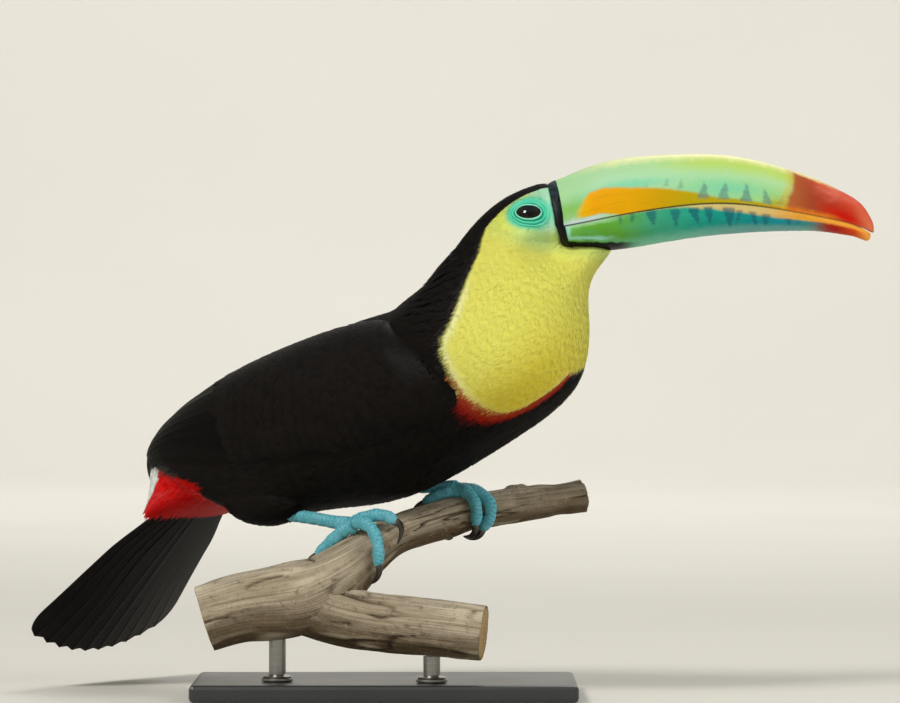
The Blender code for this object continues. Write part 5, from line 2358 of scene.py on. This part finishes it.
@dataclass
class ThighForm(Surface):
    """The feathered thigh: an egg over the heel, with its first parameter from 0 behind to 1 ahead."""

    foot: Foot
    radii: Colour = (23.0, 12.0, 12.0)
    shift: Colour = (2.0, 0.0, 6.0)
    reach: tuple[float, float] = (0.005, 1.0)

    def __post_init__(self) -> None:
        """Find the egg's middle."""
        self.centre = np.array(self.foot.heel) + np.array(self.shift)

    def point(self, a: Array, b: Array) -> Array:
        """Give points.

        Args:
            a: Share of the length.
            b: Angle round the egg in degrees.

        Returns:
            The points.
        """
        a, b = paired(a, b)
        forward, tilt, turn = heading(self.foot.turn), math.pi * (1 - a), np.radians(b)
        x = self.radii[0] * np.cos(tilt)
        y, z = (size * np.sin(tilt) * way for size, way in zip(self.radii[1:], (np.cos(turn), np.sin(turn))))
        return self.centre + forward * x[..., None] + leftward(forward) * y[..., None] + UP * z[..., None]

    def home(self, a: Array, b: Array) -> Array:
        """Unwrap the thigh above the body's chart."""
        return np.stack([0.1 + 0.4 * (self.foot.side > 0) + 0.3 * a, 0.955 + 0.00005 * b], -1)

    def frame(self, a: Array, b: Array) -> tuple[Array, Array, Array]:
        """Give tangents and the normal away from the middle, also past the egg's ends."""
        first, second, normal = super().frame(a, b)
        away = np.sum(normal * (self.point(a, b) - self.centre), -1, keepdims=True)
        return first, second, normal * np.sign(away)


# ---------------------------------------------------------------- display stand

@dataclass(frozen=True)
class RodFinish:
    """Brushed metal, with fine turning lines round the rod."""

    name: str = "stand rod"

    def material(self) -> Material:
        """Make the material."""
        paint = Paint(self.name)
        lines = paint.noise(paint.place((0.05, 0.05, 1.0)), 2600.0)
        colour = paint.layers("8C8B87", (lines, "B9B8B3"))
        return paint.finish(colour, 0.26 + lines * 0.2, lines, 0.02, Metallic=1.0)


@dataclass(frozen=True)
class BaseFinish:
    """Satin dark lacquer with a fine orange-peel texture and slight dust."""

    name: str = "stand paint"

    def material(self) -> Material:
        """Make the material."""
        paint = Paint(self.name)
        place = paint.place()
        fine, broad = paint.noise(place, 900.0, 3.0), paint.noise(place, 30.0, 3.0)
        colour = paint.layers("26282A", (broad, "323436"), (fine.step(0.62, 0.8) * 0.25, "54565A"))
        return paint.finish(colour, 0.34 + broad * 0.15, fine, 0.03, Coat_Weight=0.2, Coat_Roughness=0.3)


@dataclass
class Stand:
    """Two turned rods with small collars on a plain painted base."""

    rod_radius: float = 4.0
    base_top: float = 8.0
    sides: int = 56
    rods: dict = field(default_factory=lambda: {
        "stand_rod_front": (22.0, -30.0),
        "stand_rod_back": (-50.0, -22.5),
    })

    def rod(self, node: str) -> Shape:
        """Turn one rod: a profile of radius by height, carried round its axis.

        Args:
            node: The rod's node.

        Returns:
            The closed shape.
        """
        x, y = self.rods[node]
        low, high = self.base_top + 0.02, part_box(node)[1][2] / MM
        z = np.concatenate([np.linspace(low, low + 4.2, 14), np.linspace(low + 4.6, high, 26)])
        above = z - low
        collar = 3.4 * step(3.4 - above, 0.0, 0.8) - 0.9 * bell(above, 2.2, 0.35)
        radius = self.rod_radius - 0.05 + np.maximum(collar, 0) * step(above, -0.3, 0.5)
        path = np.stack([0 * z + x, 0 * z + y, z], 1)
        return tube(sweep(path, radius, self.sides, np.array([1.0, 0.0, 0.0])))

    def build(self) -> None:
        """Build the rods and dress the base."""
        steel = RodFinish().material()
        for node in self.rods:
            self.rod(node).piece(f"{node}_turned", steel, "stand_steel", [node], 40)
        lacquer = BaseFinish().material()
        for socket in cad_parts["stand_base"].material_slots:
            socket.material = lacquer


# ---------------------------------------------------------------- plumage layout

@dataclass(frozen=True)
class QuillRow:
    """A row of long feathers on a wing: every number is a start and its change over the row.

    Roots and tips are a place and a share of the breadth. Widths and depths are in millimetres.
    """

    count: int
    roots: tuple
    tips: tuple
    widths: tuple
    depths: tuple
    seed: int
    blunt: float = 0.22
    sections: int = 30

    def build(self, wing: WingForm) -> Shape:
        """Lay the row on a wing."""
        run = np.linspace(0, 1, self.count)
        roots, tips = (np.stack([low + change * run for low, change in ends], 1)
                       for ends in (self.roots, self.tips))
        widths, depths = (low + change * run for low, change in (self.widths, self.depths))
        return Quills(wing, roots, tips, widths, depths, self.seed, blunt=self.blunt,
                      sections=self.sections).build()


WING_ROWS = (
    QuillRow(7, ((3.4, 0.6), (0.93, -0.25)), ((6.75, 1.2), (0.97, -0.40)), (13, 0), (1.7, -0.5), 71),
    QuillRow(9, ((3.2, 0.7), (0.93, -0.72)), ((6.25, 0.7), (0.97, -0.68)), (15, 2), (1.1, -0.5), 72),
    QuillRow(4, ((3.0, 0.5), (0.42, -0.34)), ((6.5, 0.45), (0.42, -0.36)), (19, 2), (0.45, -0.3), 73, 0.3),
    QuillRow(10, ((2.6, 0.3), (0.96, -0.88)), ((4.45, 0.5), (0.97, -0.84)), (13, 2), (0.25, -0.2), 74,
             0.35, 18),
)
BIB_TUFT = Tuft(8.5, 0.8, thick=0.05, root_depth=0.8, tip_lift=0.12, cup=0.10, round=0.14)
BODY_TUFT = Tuft(14.0, 2.2, root_depth=3.0, spread=5.0)
CROWN_TUFT = Tuft(5.0, 0.8, thick=0.06, root_depth=0.8)
VENT_TUFT = Tuft(13.0, 2.0, root_depth=2.2, tip_lift=0.5, spread=8.0)
COVERT_TUFT = Tuft(15.0, 8.0, thick=0.22, root_depth=1.6, tip_lift=0.15, cup=0.05, sections=5, taper=0.6)
THIGH_TUFT = Tuft(9.0, 2.2, thick=0.14, root_depth=1.6, tip_lift=0.5, spread=9.0, cup=0.16)


def size_curve(places: Sequence[float], shares: Sequence[float]) -> Callable[[Array], Array]:
    """Make a function that reads the feathers' size between stops.

    Args:
        places: The stops on the surface's first parameter.
        shares: The size there, as a share of the tuft's.

    Returns:
        The function.
    """
    return lambda a: np.interp(a, places, shares)


BIB_SIZES = size_curve((7, 9.5, 11.2, 12.3, 13), (1.25, 1.0, 0.78, 0.55, 0.5))
BODY_SIZES = size_curve((0, 2, 5, 7, 9, 11, 12, 13), (1.0, 1.25, 1.15, 0.9, 0.75, 0.55, 0.42, 0.34))
VENT_SIZES = size_curve((0, 0.9, 2.4), (0.5, 0.9, 1.1))
COVERT_SIZES = size_curve((0, 1, 3, 4.3), (0.45, 0.6, 1.0, 1.25))


@dataclass
class FeatherCoat:
    """All the plumage: where each kind of feather grows and how big it is."""

    markings: Markings
    tail: TailForm
    share: float = 1.0

    def __post_init__(self) -> None:
        """Take over the body and the wings, and paint the small feathers' finishes."""
        self.body, self.wings = self.markings.body, self.markings.wings
        self.bright, self.dark = VaneFinish("bright", 0.22, 0.03).material(), VaneFinish("dark").material()

    def marks(self, jitter: float | None) -> Callable[[Array, Array, Array, Array], Marks]:
        """Give the marking function for feathers on the body, with ragged borders.

        Args:
            jitter: How far the borders wander in millimetres, or None for feathers all dark.

        Returns:
            The function.
        """
        def give(a: Array, b: Array, points: Array, luck: Array) -> Marks:
            """Mask each feather's colours."""
            if jitter is None:
                return {key: 0 * a for key in MASKS}
            return self.markings.masks(a, b, points, (luck - 0.5) * 2 * jitter)
        return give

    def everywhere(self, a: Array, b: Array, points: Array) -> Array:
        """Want feathers on all of the ground."""
        return 1.0 + 0 * a

    def free(self, a: Array, b: Array, points: Array, margin: float = 4.0) -> Array:
        """Want feathers where no wing lies over the body."""
        return 1.0 - np.any([wing.covers(a, b, margin) for wing in self.wings], axis=0)

    def bib_ground(self, a: Array, b: Array, points: Array) -> Array:
        """Want bib feathers inside the bib, off the bare ring and behind the bill's base."""
        marks = self.markings
        height = np.mean([one.local(points)[1] for one in marks.eyes], axis=0)
        thin = step(marks.lore(points), 5.0, 9.0) * step(np.abs(height), 9.0, 5.0) * step(a, 11.2, 11.8)
        wanted = step(marks.bib_edge(a, b), -2.4, -1.4) * step(marks.bare(points), 0.9, 1.0)
        return wanted * (marks.inside_bill(points) < -0.6) * (1 - 0.4 * thin) * self.free(a, b, points, 2.0)

    def crown_ground(self, a: Array, b: Array, points: Array) -> Array:
        """Want dark feathers outside the bib and behind the bill's base."""
        marks = self.markings
        outside = step(-marks.bib_edge(a, b), -2.0, -1.0) * (marks.inside_bill(points) < -0.6)
        return outside * step(marks.bare(points), 0.9, 1.0)

    def dark_ground(self, a: Array, b: Array, points: Array) -> Array:
        """Want dark feathers on the same ground, where no wing lies over it."""
        return self.crown_ground(a, b, points) * self.free(a, b, points)

    def face_roots(self, a: Array, b: Array, points: Array) -> Array:
        """Let feathers root only outside the bill's room and off the bare rings."""
        return (self.markings.inside_bill(points) < 0.2) * step(self.markings.bare(points), 0.86, 0.96)

    def plant(self, name: str, material: Material, slot: str, nodes: Sequence[str], jitter: float | None,
              ground: Field) -> None:
        """Grow one piece of small feathers.

        Args:
            name: The piece's name.
            material: Its material.
            slot: A material slot's name.
            nodes: The solids that it replaces.
            jitter: How far colour borders wander in millimetres, or None for feathers all dark.
            ground: Where and how the feathers grow, at their full number.
        """
        ground.count = int(ground.count * self.share)
        ground.grow(self.marks(jitter)).piece(name, material, slot, nodes)

    def small(self, feet: Sequence[Foot]) -> None:
        """Grow the bib, trunk, neck, crown, rump, wing-covert and thigh feathers.

        Args:
            feet: The feet that the thighs stand over.
        """
        body, bright, dark, black = self.body, self.bright, self.dark, "black_plumage"
        round_body = (-180.0, 180.0)
        for k in (1, 2, 3):
            self.plant(f"bib_feathers_{k}", bright, "yellow_plumage", ["bib", "breast_band", "head"], 0.35,
                       Field(body, (6.6, 13.3), (10.0, 350.0), BIB_TUFT, 8800, self.bib_ground, 10 + k,
                             BIB_SIZES, self.face_roots))
        for k in (1, 2):
            self.plant(f"trunk_feathers_{k}", dark, black, ["trunk"], 1.2,
                       Field(body, (1.0, 7.6), round_body, BODY_TUFT, 7400, self.dark_ground, 20 + k,
                             BODY_SIZES))
        self.plant("nape_feathers", dark, black, ["nape"], 0.3,
                   Field(body, (7.2, 11.2), (-110.0, 250.0), BODY_TUFT, 6200, self.dark_ground, 31,
                         BODY_SIZES))
        self.plant("crown_feathers", dark, black, ["crown"], 0.15,
                   Field(body, (10.6, 13.4), (-60.0, 60.0), CROWN_TUFT, 4200, self.crown_ground, 33,
                         rooted=self.face_roots))
        vent = ["uppertail_coverts", "undertail_coverts"]
        self.plant("tail_covert_feathers", bright, "red_plumage", vent, 0.8,
                   Field(body, (0.25, 2.4), round_body, VENT_TUFT, 5600, self.free, 41, VENT_SIZES))
        for wing in self.wings:
            label = wing.side.label
            self.plant(f"wing_coverts_{label}", dark, black, [f"wing_{label}"], None,
                       Field(wing, (0.05, 4.3), (0.02, 0.98), COVERT_TUFT, 1500, self.everywhere,
                             50 + wing.side, COVERT_SIZES))
        loose = VaneFinish("loose dark").material()
        for foot in feet:
            label = foot.side.label
            self.plant(f"thigh_feathers_{label}", loose, black, [f"thigh_{label}"], None,
                       Field(ThighForm(foot), (0.06, 0.97), round_body, THIGH_TUFT, 1500, self.everywhere,
                             60 + foot.side))

    def flight(self) -> None:
        """Lay the wings' primaries, secondaries, tertials and greater coverts, and the tail."""
        quill = QuillFinish().material()
        for wing in self.wings:
            first, *others = (row.build(wing) for row in WING_ROWS)
            label = wing.side.label
            shape = first.join(others)
            shape.piece(f"flight_feathers_{label}", quill, "black_plumage", [f"wing_{label}"], 60)
        spread = (np.arange(10) - 4.5) / 4.5
        order = np.abs(spread)
        roots = np.stack([0 * spread, spread * 0.62], 1)
        tips = np.stack([0 * spread + 0.995, spread * 0.86], 1)
        tail = Quills(self.tail, roots, tips, 25 - 3.0 * order, 0.15 + 1.15 * order, 81, thick=0.4,
                      shaft=0.25, cup=0.12, blunt=0.16, sections=44, columns=13)
        tail.build().piece("tail_feathers", quill, "black_plumage", ["tail"], 60)


# ---------------------------------------------------------------- studio

@dataclass(frozen=True)
class Lamp:
    """A soft square lamp: where it hangs, the point it faces, its size, power and tint."""

    name: str
    place: Colour
    aim: Colour
    size: float
    power: float
    tint: Colour
    mirrored: bool = True

    def hang(self) -> None:
        """Put the lamp in the scene, turned to its point."""
        light = bpy.data.lights.new(self.name, "AREA")
        light.size, light.energy, light.color = self.size, self.power, self.tint
        made = bpy.data.objects.new(self.name, light)
        bpy.context.scene.collection.objects.link(made)
        made.location = self.place
        away = unit(np.array(self.place) - np.array(self.aim))
        made.rotation_euler = (math.acos(away[2]), 0.0, math.atan2(away[0], -away[1]))
        made.visible_glossy = self.mirrored


@dataclass
class Studio:
    """Camera, soft light and a plain pale sweep behind the model."""

    camera_at: Colour = (0.0305, -2.4, 0.162)
    lens: float = 203.9
    sky: Colour = (0.90, 0.93, 0.96)
    sky_power: float = 0.42
    sides: int = 96
    drop: float = 0.05
    lamps: tuple = (
        Lamp("key", (-1.5, -1.7, 2.1), (0, 0, 0.15), 0.8, 60.0, (1.0, 0.97, 0.92)),
        Lamp("fill", (2.1, -1.4, 1.1), (0, 0, 0.15), 1.6, 30.0, (0.98, 0.98, 0.96), False),
        Lamp("rim", (0.5, 1.6, 1.9), (0, 0, 0.18), 1.0, 14.0, (1.0, 0.98, 0.95)),
        Lamp("backdrop", (0.0, 2.6, 3.2), (0, 5.5, 1.5), 2.0, 120.0, (1.0, 0.99, 0.97)),
    )

    def bowl(self) -> None:
        """Turn a profile round the upright axis: a flat floor that curves up into a wall."""
        arc = np.radians(np.linspace(0, 90, 24))[1:]
        far = np.concatenate([[60.0, 300, 1000, 4000], 4000 + 2500 * np.sin(arc), [6500.0]])[:, None]
        rise = np.concatenate([[0.0, 0, 0, 0], 2500 - 2500 * np.cos(arc), [5500.0]])[:, None]
        turn, j = circle(self.sides), np.arange(self.sides)
        x, y = far * np.cos(turn), far * np.sin(turn)
        points = np.append(np.stack([x, y, rise + 0 * x], -1).reshape(-1, 3), [[0, 0, 0]], 0)
        fan = np.stack([0 * j + len(points) - 1, j, (j + 1) % self.sides], -1)
        paint = Paint("studio floor")
        colour = paint.layers("D2CFC6", (paint.noise(paint.place(), 2.0, 2.0), "D9D6CE"))
        floor = Shape(points - UP * self.drop, [grid_faces(len(far), self.sides, True)[:, ::-1], fan])
        made = floor.mesh("studio_floor", paint.finish(colour, 0.85))

    def build(self) -> None:
        """Set camera, lamps, world and sweep."""
        scene = bpy.context.scene
        camera = bpy.data.cameras.new("camera")
        camera.lens, camera.sensor_width, camera.clip_start = self.lens, 36.0, 0.05
        made = bpy.data.objects.new("camera", camera)
        made.location, made.rotation_euler = self.camera_at, (math.pi / 2, 0.0, 0.0)
        scene.collection.objects.link(made)
        scene.camera = made
        for lamp in self.lamps:
            lamp.hang()
        world = bpy.data.worlds.new("studio")
        world.use_nodes = True
        sky = world.node_tree.nodes["Background"].inputs
        sky[0].default_value, sky[1].default_value = (*self.sky, 1.0), self.sky_power
        scene.world = world
        scene.view_settings.view_transform = "Standard"
        self.bowl()


# ---------------------------------------------------------------- the whole model

SKIN_NODES = (
    "head", "crown", "nape", "bib", "breast_band", "trunk", "wing_left", "wing_right",
    "uppertail_coverts", "undertail_coverts", "thigh_left", "thigh_right", "foot_left", "foot_right",
)


def build_model() -> None:
    """Build and dress every part in order."""
    body = BodyForm()
    wings = [WingForm(body, Side.LEFT, slide=1.35, drop=14.0, swell=8.0, wrist_share=0.7),
             WingForm(body, Side.RIGHT, drop=-5.0, wrist_share=0.12, sink=3.0)]
    eyes = [EyePlace(body, side) for side in Side]
    markings = Markings(body, eyes, wings)
    main_limb, fork = MainLimb(PERCH_LINE, 380, 4), Branch(FORK_LINE, 200, 8)
    feet = [Foot(main_limb, Side.RIGHT, 3.15, (-58, 10, 86)), Foot(main_limb, Side.LEFT, 6.0, (-12, 36, 97))]
    glass = EyeFinish().material()
    for eye in eyes:
        Eyeball(eye).build(glass)
    skin = Skin(markings, Coat(markings))
    rings, legs = [skin.eye_ring(eye) for eye in eyes], [one for foot in feet for one in foot.skin()]
    skin.trunk().join(rings + legs).piece("skin", SkinFinish().material(), "leg_skin", SKIN_NODES, 70)
    first, *others = (claw for foot in feet for claw in foot.claws())
    first.join(others).piece("claws", ClawFinish().material(), "bill_black", ["foot_left", "foot_right"], 60)
    Bill(BillForm()).build()
    bark = BarkFinish().material()
    main_limb.build().piece("perch_limb", bark, "bark", ["perch"], 50)
    fork.build().piece("perch_fork_limb", bark, "bark", ["perch_fork"], 50)
    Stand().build()
    coat = FeatherCoat(markings, TailForm(body), 1.0)
    coat.small(feet)
    coat.flight()


def main() -> None:
    """Build the studio and the model."""
    logging.basicConfig(level=logging.INFO, format="%(message)s")
    Studio().build()
    build_model()


if __name__ == "__main__":
    main()
